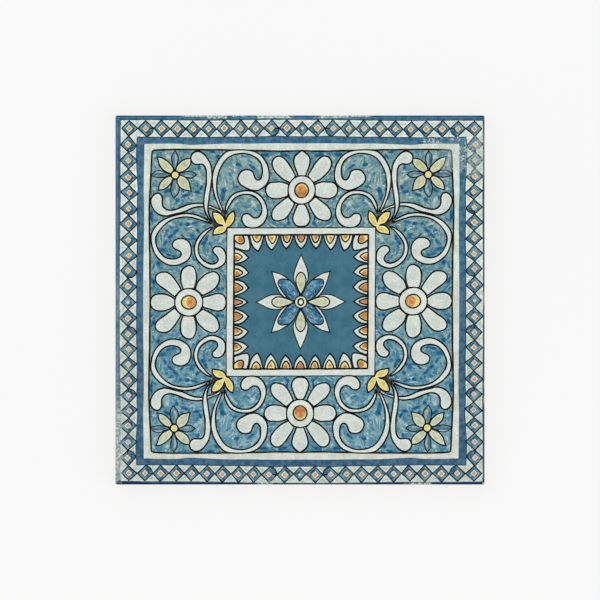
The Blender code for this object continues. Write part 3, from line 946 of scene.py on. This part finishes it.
def cad_body():
    """The CAD node's sides and back, in millimetres, and the loop of vertices where the rim begins."""
    mesh = bmesh.new()
    mesh.from_mesh(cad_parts["tile"].data)
    bmesh.ops.remove_doubles(mesh, verts=mesh.verts, dist=SAME_PLACE)
    shoulder = (HEIGHT - RIM_RADIUS + SHOULDER_MARGIN) * MM
    top = [f for f in mesh.faces if max(v.co.z for v in f.verts) > shoulder]
    bmesh.ops.delete(mesh, geom=top, context="FACES")
    edge = next(e for e in mesh.edges if e.is_boundary)
    start, here = edge.verts
    loop = [start]
    while here is not start:
        loop.append(here)
        edge = next(e for e in here.link_edges if e.is_boundary and e is not edge)
        here = edge.other_vert(here)
    mesh.verts.index_update()
    vertices = [tuple(v.co / MM) for v in mesh.verts]
    faces = [[v.index for v in f.verts] for f in mesh.faces]
    ring = [v.index for v in loop]
    mesh.free()
    return vertices, faces, ring


def partition(border, layers):
    """Triangles that fill the border loop and follow every outline, each in the colour on top there."""
    loops = [border, *rim_rings(), *[loop for _, loop in layers]]
    vertices, edges = [], []
    for loop in loops:
        first = len(vertices)
        vertices += [Vector((float(x), float(y))) for x, y in loop]
        count = len(loop)
        edges += [(first + i, first + (i + 1) % count) for i in range(count)]
    points, _, faces, *_ = delaunay_2d_cdt(vertices, edges, [], 0, PARTITION_GAP)
    points = np.array([tuple(p) for p in points])
    faces = np.array([tuple(f) for f in faces])
    middle = points[faces].mean(axis=1)
    order = np.argsort(middle[:, 0])
    middle, faces = middle[order], faces[order]
    colours = np.zeros(len(faces), int)
    names = list(dict.fromkeys(name for name, _ in layers))
    for name, loop in layers:
        colours[inside(middle, loop)] = names.index(name)
    return points, faces, colours, names


def inside(points, loop):
    """The numbers of the points, sorted from left to right, that the loop goes round counter-clockwise."""
    low, high = loop.min(axis=0), loop.max(axis=0)
    first, last = np.searchsorted(points[:, 0], (low[0], high[0]))
    near = points[first:last]
    near = first + np.nonzero((near[:, 1] >= low[1]) & (near[:, 1] <= high[1]))[0]
    x, y = points[near, 0], points[near, 1]
    winding = np.zeros(len(near), int)
    for (ax, ay), (bx, by) in zip(loop, np.roll(loop, -1, 0)):
        side = (bx - ax) * (y - ay) - (x - ax) * (by - ay)
        winding += (ay <= y) & (by > y) & (side > 0)
        winding -= (ay > y) & (by <= y) & (side < 0)
    return near[winding > 0]


def rim_height(depth):
    """The height of the glazed surface at a depth inside the outline, and how upright its normal is."""
    fall = max(RIM_RADIUS - depth, 0.0)
    rise = math.sqrt(max(RIM_RADIUS ** 2 - fall ** 2, 0.0))
    return HEIGHT - RIM_RADIUS + rise, rise / RIM_RADIUS


def colour_value(shown):
    """A linear colour from the red, green and blue values, 0 to 255, that it should show."""
    return tuple(((c / 255 + 0.055) / 1.055) ** 2.4 for c in shown)


class Nodes:
    """A material's node tree, with short ways to add nodes and to set or link what goes into them."""

    def __init__(self, name):
        self.material = bpy.data.materials.new(name)
        self.material.use_nodes = True
        self.tree = self.material.node_tree
        self.shader = self.tree.nodes["Principled BSDF"]

    @classmethod
    def of_tree(cls, tree):
        """The same short ways for a tree that isn't a material's."""
        nodes = cls.__new__(cls)
        nodes.tree = tree
        return nodes

    def put(self, socket, value):
        """Links a socket to the value, or sets it where the value is a plain one."""
        if isinstance(value, bpy.types.NodeSocket):
            self.tree.links.new(value, socket)
        else:
            socket.default_value = value

    def add(self, kind, inputs=None, **settings):
        """A new node with its settings, and with what goes into its named or numbered inputs."""
        node = self.tree.nodes.new(kind)
        for key, value in settings.items():
            setattr(node, key, value)
        for key, value in (inputs or {}).items():
            self.put(node.inputs[key], value)
        return node

    def math(self, operation, *values):
        return self.add("ShaderNodeMath", dict(enumerate(values)), operation=operation).outputs[0]

    def vector(self, operation, *values):
        return self.add("ShaderNodeVectorMath", dict(enumerate(values)), operation=operation).outputs[0]

    def mix(self, factor, a, b, blend="MIX"):
        a, b = [c if isinstance(c, bpy.types.NodeSocket) else (*c, 1.0) for c in (a, b)]
        inputs = {"Factor": factor, 6: a, 7: b}
        return self.add("ShaderNodeMix", inputs, data_type="RGBA", blend_type=blend).outputs[2]

    def axes(self, place):
        """The sockets X, Y and Z of a place or a direction."""
        return self.add("ShaderNodeSeparateXYZ", {0: place}).outputs

    def noise(self, place, size, detail=2.0, roughness=0.5):
        """Noise from 0 to 1 whose blotches are about that many millimetres across."""
        inputs = {"Vector": place, "Scale": 1 / (size * MM), "Detail": detail, "Roughness": roughness}
        return self.add("ShaderNodeTexNoise", inputs).outputs["Fac"]

    def streaks(self, place, angle, width, length, swirl):
        """Noise from 0 to 1, drawn out along one direction, that swirls a little, as bristles leave it."""
        turn = {"Vector": place, "Angle": -math.radians(angle)}
        along = self.add("ShaderNodeVectorRotate", turn, rotation_type="Z_AXIS").outputs[0]
        stretched = self.vector("MULTIPLY", along, (1 / (length * MM), 1 / (width * MM), 1.0))
        inputs = {"Vector": stretched, "Scale": 1.0, "Detail": 2.0, "Distortion": swirl}
        return self.add("ShaderNodeTexNoise", inputs).outputs["Fac"]

    def ramp(self, value, low, high):
        """0 at low and beyond, 1 at high and beyond, and smooth between them."""
        inputs = {"Value": value, "From Min": low, "From Max": high}
        return self.add("ShaderNodeMapRange", inputs, interpolation_type="SMOOTHSTEP").outputs["Result"]

    def bump(self, height, strength, distance):
        """Gives the material's surface a slight relief from a height between 0 and 1."""
        inputs = {"Height": height, "Strength": strength, "Distance": distance}
        self.put(self.shader.inputs["Normal"], self.add("ShaderNodeBump", inputs).outputs["Normal"])

    def place(self):
        return self.add("ShaderNodeTexCoord").outputs["Object"]

    def folded(self):
        """The place on the print's one drawn quarter, so that the brushwork is mirrored as well."""
        centre = (PRINT_OFFSET[0] * MM, PRINT_OFFSET[1] * MM, 0.0)
        return self.vector("ABSOLUTE", self.vector("SUBTRACT", self.place(), centre))


# The fired surfaces: how rough they are, how much the glaze varies in that, how strongly it and its
# matter colours shine, and the strength and depth of the relief
GLAZE_ROUGHNESS = 0.34
GLOSS_RANGE = 0.16
GLAZE_SPECULAR = 0.35
INK_SPECULAR = 0.08
GLAZE_RELIEF = (0.12, 0.4 * MM)
CLAY_ROUGHNESS = 0.85
CLAY_RELIEF = (0.5, 0.2 * MM)

# How large the glaze's speckles, its stains, the drift of its roughness and its waves are, in
# millimetres, and how much of the speckles shows in the waves
SPECKLE_SIZE = 0.75
STAIN_SIZE = 1.4
GLOSS_SIZE = 9.0
WAVE_SIZE = 7.0
SPECKLE_RELIEF = 0.06

# The tints begin and end this far above and below the tile's middle
TINT_REACH = 50 * MM

# The brushed grounds: the size of the wash and where it turns, the width of the deep and the bright
# marks with the noise at which each begins, and their length, swirl, softness and strength
WASH_SIZE = 8.0
WASH_EDGE = (0.38, 0.64)
DEEP_MARKS = (1.5, 0.52)
BRIGHT_MARKS = (1.2, 0.57)
MARK_LENGTH = 3.4
MARK_SWIRL = 1.2
MARK_EDGE = 0.14
MARK_STRENGTH = 0.90
BRUSHED_GRAIN = 0.14

# Where the print is worn, on the tile in millimetres: middle, half width, half height, the share that is
# gone in flecks, and how far the rest has faded
WORN_PLACES = [
    (95.0, 77.5, 5.6, 11.5, 0.40, 0.20),
    (88.2, 78.0, 2.6, 10.0, 0.46, 0.00),
    (71.5, 86.8, 6.5, 2.0, 0.46, 0.00),
    (84.0, 86.8, 4.0, 2.2, 0.40, 0.08),
    (82.0, 77.0, 6.0, 7.0, 0.28, 0.20),
    (-98.9, -76.5, 2.4, 23.0, 0.50, 0.54),
    (-98.9, -34.0, 2.2, 20.0, 0.24, 0.20),
    (-98.9, 0.0, 2.2, 14.0, 0.20, 0.22),
    (-98.9, 32.0, 2.2, 18.0, 0.12, 0.06),
    (-19.0, -99.4, 4.5, 1.3, 0.56, 0.20),
    (65.0, -99.6, 8.0, 1.0, 0.50, 0.14),
    (20.0, -99.7, 20.0, 0.7, 0.28, 0.04),
    (-45.0, 99.5, 5.5, 1.5, 0.60, 0.10),
    (-54.0, 99.9, 12.0, 0.9, 0.60, 0.12),
    (-13.5, 99.7, 10.5, 1.5, 0.72, 0.16),
    (18.2, 99.7, 10.0, 1.4, 0.66, 0.12),
    (31.5, 99.9, 8.5, 0.9, 0.58, 0.10),
    (-33.0, 99.9, 5.0, 0.7, 0.50, 0.08),
]
# How a worn place ends, as a share of its half sizes, how strongly it gathers flecks, where a fleck
# starts and is complete, and the colours that show in it
WORN_END = (1.25, 0.65)
FLECK_GATHER = 0.7
FLECK_EDGE = (0.79, 0.90)
WORN_DARK = (152, 172, 168)
WORN_PALE = (210, 220, 210)


def worn_group():
    """A node group that gives how far the print is gone: in ragged flecks, and faded between them."""
    group = bpy.data.node_groups.new("worn_print", "ShaderNodeTree")
    group.interface.new_socket("Worn", in_out="OUTPUT", socket_type="NodeSocketFloat")
    nodes = Nodes.of_tree(group)
    place = nodes.place()
    ragged = nodes.math("SUBTRACT", nodes.noise(place, 3.0, 3.0), 0.5)
    spot = nodes.axes(place)
    worn, faded = 0.0, 0.0
    for x, y, half_x, half_y, share, fade in WORN_PLACES:
        across = nodes.math("ABSOLUTE", nodes.math("SUBTRACT", spot["X"], x * MM))
        along = nodes.math("ABSOLUTE", nodes.math("SUBTRACT", spot["Y"], y * MM))
        across = nodes.math("DIVIDE", across, half_x * MM)
        along = nodes.math("DIVIDE", along, half_y * MM)
        near = nodes.ramp(nodes.math("ADD", nodes.math("MAXIMUM", across, along), ragged), *WORN_END)
        worn = nodes.math("MAXIMUM", worn, nodes.math("MULTIPLY", near, share))
        faded = nodes.math("MAXIMUM", faded, nodes.math("MULTIPLY", near, fade))
    gathered = nodes.math("MULTIPLY", worn, FLECK_GATHER)
    flecks = nodes.math("ADD", nodes.noise(place, 0.9, 3.0, 0.6), gathered)
    nodes.add("NodeGroupOutput", {0: nodes.math("MAXIMUM", nodes.ramp(flecks, *FLECK_EDGE), faded)})
    return group


def finish_glaze(nodes, colour, grain, gloss=GLAZE_SPECULAR):
    """Adds wear, grain and slight waves to a colour, and gives it the gloss of the fired glaze."""
    place = nodes.place()
    speckle = nodes.noise(place, SPECKLE_SIZE, 1.0)
    worn = nodes.add("ShaderNodeGroup", node_tree=bpy.data.node_groups["worn_print"])
    stain = nodes.ramp(nodes.noise(place, STAIN_SIZE, 2.0), 0.42, 0.58)
    bare = nodes.mix(stain, colour_value(WORN_DARK), colour_value(WORN_PALE))
    colour = nodes.mix(worn.outputs[0], colour, bare)
    shade = nodes.math("MULTIPLY_ADD", speckle, 4 * grain, 1 - 2 * grain)
    tone = nodes.add("ShaderNodeCombineColor", {0: shade, 1: shade, 2: shade})
    colour = nodes.mix(1.0, colour, tone.outputs[0], "MULTIPLY")
    nodes.put(nodes.shader.inputs["Base Color"], colour)
    least = GLAZE_ROUGHNESS - GLOSS_RANGE / 2
    rough = nodes.math("MULTIPLY_ADD", nodes.noise(place, GLOSS_SIZE, 3.0), GLOSS_RANGE, least)
    nodes.put(nodes.shader.inputs["Roughness"], rough)
    nodes.shader.inputs["Specular IOR Level"].default_value = gloss
    speckle = nodes.math("MULTIPLY", speckle, SPECKLE_RELIEF)
    waves = nodes.math("ADD", nodes.noise(place, WAVE_SIZE, 1.0), speckle)
    nodes.bump(waves, *GLAZE_RELIEF)
    return nodes.material


def tinted_to_foot(nodes, colour, tint):
    """The colour, tinted more and more towards the foot of the tile."""
    height = nodes.axes(nodes.place())["Y"]
    return nodes.mix(nodes.ramp(height, TINT_REACH, -TINT_REACH), colour, tint, "MULTIPLY")


def glaze(name, dark, light, size, grain=0.13, foot=(1.0, 1.0, 1.0), gloss=GLAZE_SPECULAR):
    """A glaze colour that drifts between two tones in soft blotches, with a tint at the tile's foot."""
    nodes = Nodes(name)
    drift = nodes.ramp(nodes.noise(nodes.folded(), size, 3.0), 0.35, 0.65)
    colour = nodes.mix(drift, colour_value(dark), colour_value(light))
    return finish_glaze(nodes, tinted_to_foot(nodes, colour, foot), grain, gloss)


def brushed(name, tones, angles, foot):
    """A brushed ground: a thin wash of the middle tones, with deep and bright bristle marks over it."""
    bright, pale, middle, deep = [colour_value(tone) for tone in tones]
    nodes = Nodes(name)
    place = nodes.folded()
    wash = nodes.ramp(nodes.noise(place, WASH_SIZE, 4.0, 0.6), *WASH_EDGE)
    colour = nodes.mix(wash, middle, pale)
    for tone, angle, (width, least) in zip((deep, bright), angles, (DEEP_MARKS, BRIGHT_MARKS)):
        marks = nodes.streaks(place, angle, width, MARK_LENGTH, MARK_SWIRL)
        marks = nodes.ramp(marks, least, least + MARK_EDGE)
        colour = nodes.mix(nodes.math("MULTIPLY", marks, MARK_STRENGTH), colour, tone)
    return finish_glaze(nodes, tinted_to_foot(nodes, colour, foot), BRUSHED_GRAIN)


# The size of the clay's drift and of its pores, and the size, strength and colour of its gritty specks
CLAY_DRIFT = 14.0
PORE_SIZE = 0.7
GRIT_SIZE = 0.8
GRIT_STRENGTH = 0.6
GRIT = (150, 116, 88)

# The glaze that has run over the sides: its colour, the size and depth of the drops along its lower
# edge, and between which heights it ends
RUN_COLOUR = (104, 132, 146)
RUN_SIZE = 5.0
RUN_RAGGED = 1.6 * MM
RUN_END = (7.3 * MM, 7.5 * MM)


def clay(name, dark, light, overflow):
    """The bare fired body, warm and gritty, with the glaze run a little way down the sides if it does."""
    nodes = Nodes(name)
    place = nodes.place()
    tone = nodes.ramp(nodes.noise(place, CLAY_DRIFT, 4.0, 0.6), 0.3, 0.7)
    colour = nodes.mix(tone, colour_value(dark), colour_value(light))
    grit = nodes.ramp(nodes.noise(place, GRIT_SIZE, 2.0), 0.62, 0.72)
    colour = nodes.mix(nodes.math("MULTIPLY", grit, GRIT_STRENGTH), colour, colour_value(GRIT))
    if overflow:
        ragged = nodes.math("MULTIPLY", nodes.noise(place, RUN_SIZE, 3.0), RUN_RAGGED)
        run = nodes.ramp(nodes.math("ADD", nodes.axes(place)["Z"], ragged), *RUN_END)
        colour = nodes.mix(run, colour, colour_value(RUN_COLOUR))
    nodes.put(nodes.shader.inputs["Base Color"], colour)
    nodes.shader.inputs["Roughness"].default_value = CLAY_ROUGHNESS
    nodes.bump(nodes.noise(place, PORE_SIZE, 3.0), *CLAY_RELIEF)
    return nodes.material


# The tints that some glazes take on towards the foot of the tile
BAND_FOOT = (0.94, 0.85, 0.86)
PALE_FOOT = (0.86, 0.86, 0.86)
CREAM_FOOT = (1.00, 0.94, 0.94)
DOT_FOOT = (1.01, 0.95, 1.60)
GREEN_FOOT = (0.97, 1.02, 1.24)
FIELD_FOOT = (0.84, 0.98, 1.13)
MOTTLE_FOOT = (1.16, 0.96, 0.94)

# The tones of the two brushed grounds, from bright to deep, and the directions of their deep and their
# bright bristle marks
FIELD_TONES = ((206, 220, 210), (148, 177, 172), (94, 143, 153), (38, 100, 130))
FIELD_ANGLES = (65.0, 20.0)
MOTTLE_TONES = ((178, 212, 216), (108, 164, 188), (46, 112, 150), (6, 56, 92))
MOTTLE_ANGLES = (36.0, 54.0)


def materials():
    """Every glaze of the print, with its two tones and the size of its blotches, and the clay."""
    worn_group()
    made = [
        glaze("band", (46, 97, 128), (82, 125, 151), 2.4, 0.12, BAND_FOOT),
        glaze("band_left", (56, 102, 132), (80, 120, 146), 4.0),
        glaze("band_right", (54, 94, 122), (90, 126, 148), 4.0, gloss=INK_SPECULAR),
        glaze("band_foot", (14, 52, 78), (46, 84, 106), 6.0, gloss=INK_SPECULAR),
        # The next two glazes paint the shade of the rounded rim at the foot and at the top; the second also
        # colours the bands' printed fine lines
        glaze("painted_rim_shade", (4, 26, 46), (8, 46, 70), 9.0, gloss=INK_SPECULAR),
        glaze("band_line_and_rim_shade", (22, 66, 96), (58, 98, 124), 5.0, gloss=INK_SPECULAR),
        glaze("pale", (210, 222, 211), (242, 249, 241), 3.0, 0.20, PALE_FOOT),
        glaze("pale_middle", (186, 202, 192), (226, 236, 226), 1.3, 0.20, PALE_FOOT),
        glaze("cream", (212, 222, 208), (231, 239, 228), 5.0, 0.14, CREAM_FOOT),
        glaze("frame", (215, 225, 217), (231, 237, 229), 6.0, 0.11),
        glaze("white", (215, 225, 216), (232, 239, 230), 6.0, 0.14),
        glaze("petal", (208, 219, 211), (223, 230, 222), 5.0, 0.16),
        glaze("ink", (2, 6, 6), (32, 38, 34), 9.0, gloss=INK_SPECULAR),
        glaze("rosette_ink", (14, 19, 16), (62, 62, 54), 6.0, gloss=INK_SPECULAR),
        glaze("lozenge_ink", (3, 18, 25), (30, 50, 57), 7.0, gloss=INK_SPECULAR),
        glaze("knot", (32, 35, 31), (88, 92, 82), 2.0, 0.20, gloss=INK_SPECULAR),
        glaze("panel", (58, 110, 131), (72, 121, 140), 6.0, 0.11),
        glaze("lozenge", (54, 102, 130), (128, 162, 166), 2.2, 0.16),
        glaze("lozenge_streak", (16, 64, 94), (68, 114, 134), 3.0, 0.16),
        glaze("lozenge_light", (112, 152, 164), (160, 186, 188), 4.0, 0.16),
        glaze("core", (232, 229, 211), (249, 247, 235), 4.0),
        glaze("dot", (202, 156, 96), (224, 184, 114), 3.0, 0.12, DOT_FOOT),
        glaze("pearl", (212, 190, 172), (228, 216, 202), 3.0),
        glaze("amber", (238, 208, 122), (254, 240, 168), 3.0),
        glaze("orange", (190, 124, 66), (226, 167, 105), 2.0, 0.16),
        glaze("coral", (199, 122, 94), (215, 148, 116), 3.0, 0.16),
        glaze("leaf", (226, 202, 102), (242, 222, 132), 3.0, 0.13),
        glaze("leaf_light", (242, 230, 164), (250, 244, 196), 3.0),
        glaze("green", (188, 191, 144), (214, 216, 174), 2.5, 0.16, GREEN_FOOT),
        glaze("green_light", (208, 214, 188), (226, 232, 212), 3.0),
        glaze("hub", (226, 222, 170), (242, 240, 208), 2.0),
        glaze("hub_middle", (238, 242, 220), (248, 250, 236), 2.0),
        glaze("slip", (88, 126, 138), (140, 166, 168), 2.2, 0.16),
        glaze("slip_streak", (62, 110, 142), (110, 150, 166), 2.4, 0.16),
        glaze("slip_light", (150, 178, 178), (184, 202, 198), 3.0, 0.16),
        glaze("field_pale", (144, 173, 170), (176, 199, 192), 2.0, 0.16, FIELD_FOOT),
        glaze("field_paler", (164, 188, 182), (198, 215, 208), 2.0, 0.16, FIELD_FOOT),
        glaze("field_bright", (174, 198, 190), (206, 220, 212), 3.0, 0.16),
        glaze("field_soft", (48, 112, 146), (82, 138, 162), 2.0, 0.16),
        glaze("field_deep", (8, 78, 120), (38, 104, 142), 2.0, 0.16),
        brushed("field", FIELD_TONES, FIELD_ANGLES, FIELD_FOOT),
        brushed("mottle", MOTTLE_TONES, MOTTLE_ANGLES, MOTTLE_FOOT),
        clay("fired_clay", (186, 150, 116), (208, 178, 146), True),
        clay("clay_chip", (196, 152, 104), (226, 190, 146), False),
    ]
    return {material.name: material for material in made}


def add_object(name, data):
    """A new object in the scene."""
    made = bpy.data.objects.new(name, data)
    bpy.context.scene.collection.objects.link(made)
    return made


def tile_piece():
    """The whole tile as one closed mesh: the printed top, joined to the CAD's sides and back."""
    body_points, body_faces, ring = cad_body()
    border = np.array([body_points[i][:2] for i in ring])
    points, faces, colours, names = partition(counter_clockwise(border), drawing())
    depths = [rim_depth(x, y) for x, y in points]
    heights = [rim_height(depth) for depth, _ in depths]
    vertices = [(x, y, z) for (x, y), (z, _) in zip(points, heights)]

    join = {}
    for i in ring:
        gap = np.hypot(points[:, 0] - body_points[i][0], points[:, 1] - body_points[i][1])
        join[i] = int(gap.argmin())
    for i, point in enumerate(body_points):
        if i not in join:
            join[i] = len(vertices)
            vertices.append(point)
    all_faces = [*faces.tolist(), *[[join[i] for i in face] for face in body_faces]]

    mesh = bpy.data.meshes.new("glazed_tile")
    mesh.from_pydata([tuple(c * MM for c in v) for v in vertices], [], all_faces)
    made = materials()
    for name in [*names, "fired_clay"]:
        mesh.materials.append(made[name])
    slots = [*colours.tolist(), *[len(names)] * len(body_faces)]
    mesh.polygons.foreach_set("material_index", slots)
    mesh.polygons.foreach_set("use_smooth", [True] * len(slots))

    normals = []
    for polygon in mesh.polygons:
        for index in polygon.vertices:
            normals.append(surface_normal(polygon, index, len(points), depths, heights))
    mesh.normals_split_custom_set(normals)
    lay_out_map(mesh, len(faces))
    mesh.update()
    return add_object("glazed_tile", mesh)


# How far a face's normal points down before the face counts as part of the back
BACK_TILT = -0.1


def surface_normal(polygon, index, top_count, depths, heights):
    """The true normal of the rounded rim on the glazed side, and the face's own elsewhere."""
    if polygon.normal.z < BACK_TILT or index >= top_count:
        return polygon.normal.copy()
    _, (ox, oy) = depths[index]
    _, upright = heights[index]
    lean = math.sqrt(max(1 - upright * upright, 0.0))
    return Vector((ox * lean, oy * lean, upright))


# The bake map: the share of it that the top takes each way, the gap round each part, and the normal
# beyond which a face is level
TOP_MAP_SHARE = 0.88
MAP_GAP = 0.004
LEVEL = 0.5

# How much of a side's strip its faces take: its length, where its height starts, and its height
SIDE_LENGTH = 0.99
SIDE_START = 0.1
SIDE_HEIGHT = 0.8


def lay_out_map(mesh, top_faces):
    """The bake map: the top takes most of it, the sides and the back share the strips beside it."""
    layer = mesh.uv_layers.new(name="OFBake")
    strip = 1 - TOP_MAP_SHARE
    room = TOP_MAP_SHARE - 2 * MAP_GAP
    for polygon in mesh.polygons:
        for loop in polygon.loop_indices:
            co = mesh.vertices[mesh.loops[loop].vertex_index].co / MM
            a, b = (co.x / HALF_SIDE + 1) / 2, (co.y / HALF_SIDE + 1) / 2
            if polygon.index < top_faces:
                uv = (MAP_GAP + a * room, MAP_GAP + b * room)
            elif abs(polygon.normal.z) > LEVEL:
                uv = (TOP_MAP_SHARE + MAP_GAP + a * (strip - 2 * MAP_GAP), MAP_GAP + b * room)
            else:
                uv = side_place(polygon.normal, co, a, b, strip)
            layer.data[loop].uv = uv


def side_place(normal, co, a, b, strip):
    """A place in one of four narrow bands above the printed top, one for each side of the tile."""
    if abs(normal.y) > abs(normal.x):
        along, band = a, 0 if normal.y > 0 else 1
    else:
        along, band = b, 2 if normal.x > 0 else 3
    height = co.z / HEIGHT
    up = (band + SIDE_START + SIDE_HEIGHT * height) * (strip - 2 * MAP_GAP) / 4
    return MAP_GAP + along * SIDE_LENGTH, TOP_MAP_SHARE + MAP_GAP + up


# The photograph's frame: how much it spans at the tile's face, seen from above through a long lens,
# with the lens and the film in millimetres and the farthest thing in metres
FRAME_WIDTH = 324.89 * MM
LENS = 135.0
SENSOR = 36.0
CAMERA_REACH = 20.0


def add_camera():
    """The photograph's camera, straight above the tile."""
    data = bpy.data.cameras.new("camera")
    data.lens = LENS
    data.sensor_width = SENSOR
    data.clip_end = CAMERA_REACH
    camera = add_object("camera", data)
    camera.location = (0.0, 0.0, HEIGHT * MM + FRAME_WIDTH * LENS / SENSOR)
    bpy.context.scene.camera = camera


# The lights: their names, where they stand, in metres, and their power; each looks at the tile
LIGHT_SIZE = 1.2
LIGHTS = (("soft_left", (-1.3, 0.9, 1.3), 9.0), ("soft_right", (1.4, -0.5, 1.2), 7.0))


def add_light(name, place, power):
    """A large soft light that looks at the tile."""
    data = bpy.data.lights.new(name, "AREA")
    data.shape = "SQUARE"
    data.size = LIGHT_SIZE
    data.energy = power
    light = add_object(name, data)
    light.location = place
    light.rotation_euler = (-Vector(place)).to_track_quat("-Z", "Y").to_euler()


# The floor: half its side, how far it reaches in under the tile, its tone and how much that drifts, its
# roughness and its glow
FLOOR_HALF = 3.0
FLOOR_SEAT = 0.6 * MM
FLOOR_WHITE = 0.20
FLOOR_DRIFT = 0.01
FLOOR_ROUGHNESS = 0.9
FLOOR_GLOW = 0.755
WHITE = (1.0, 1.0, 1.0, 1.0)

# The surround: how bright it is at the sides and straight above, and how far up the one gives way to
# the other
SKY_SIDES = 0.86
SKY_TOP = 0.12
SKY_TURN = (0.80, 0.95)


def add_floor():
    """A plain pale table that glows evenly, with an opening under the tile, so that the back shows."""
    nodes = Nodes("studio_floor")
    shade = nodes.ramp(nodes.noise(nodes.place(), 400.0, 1.0), 0.2, 0.8)
    colour = nodes.mix(shade, (FLOOR_WHITE,) * 3, (FLOOR_WHITE + FLOOR_DRIFT,) * 3)
    nodes.put(nodes.shader.inputs["Base Color"], colour)
    nodes.shader.inputs["Roughness"].default_value = FLOOR_ROUGHNESS
    nodes.shader.inputs["Specular IOR Level"].default_value = 0.0
    nodes.shader.inputs["Emission Color"].default_value = WHITE
    nodes.shader.inputs["Emission Strength"].default_value = FLOOR_GLOW
    mesh = bmesh.new()
    bmesh.ops.create_grid(mesh, x_segments=1, y_segments=1, size=FLOOR_HALF)
    border = FLOOR_HALF - (HALF_SIDE * MM - FLOOR_SEAT)
    faces = list(mesh.faces)
    bmesh.ops.inset_region(mesh, faces=faces, thickness=border, use_boundary=True, use_even_offset=True)
    opening = min(mesh.faces, key=lambda face: face.calc_area())
    bmesh.ops.delete(mesh, geom=[opening], context="FACES")
    data = bpy.data.meshes.new("floor")
    mesh.to_mesh(data)
    mesh.free()
    data.materials.append(nodes.material)
    floor = add_object("floor", data)


def add_sky():
    """An even white surround, darker straight above, where the camera looks in."""
    world = bpy.data.worlds.new("sky")
    bpy.context.scene.world = world
    world.use_nodes = True
    nodes = Nodes.of_tree(world.node_tree)
    direction = nodes.axes(nodes.add("ShaderNodeTexCoord").outputs["Generated"])
    above = nodes.ramp(direction["Z"], *SKY_TURN)
    background = world.node_tree.nodes["Background"]
    background.inputs["Color"].default_value = WHITE
    strength = nodes.math("MULTIPLY_ADD", above, SKY_TOP - SKY_SIDES, SKY_SIDES)
    nodes.put(background.inputs["Strength"], strength)


def add_studio():
    """The floor, the surround and two large soft lights to either side of the camera."""
    add_floor()
    add_sky()
    for light in LIGHTS:
        add_light(*light)


bpy.context.scene.view_settings.view_transform = "Standard"
tile = tile_piece()
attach(tile, "root")
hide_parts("tile")
add_studio()
add_camera()
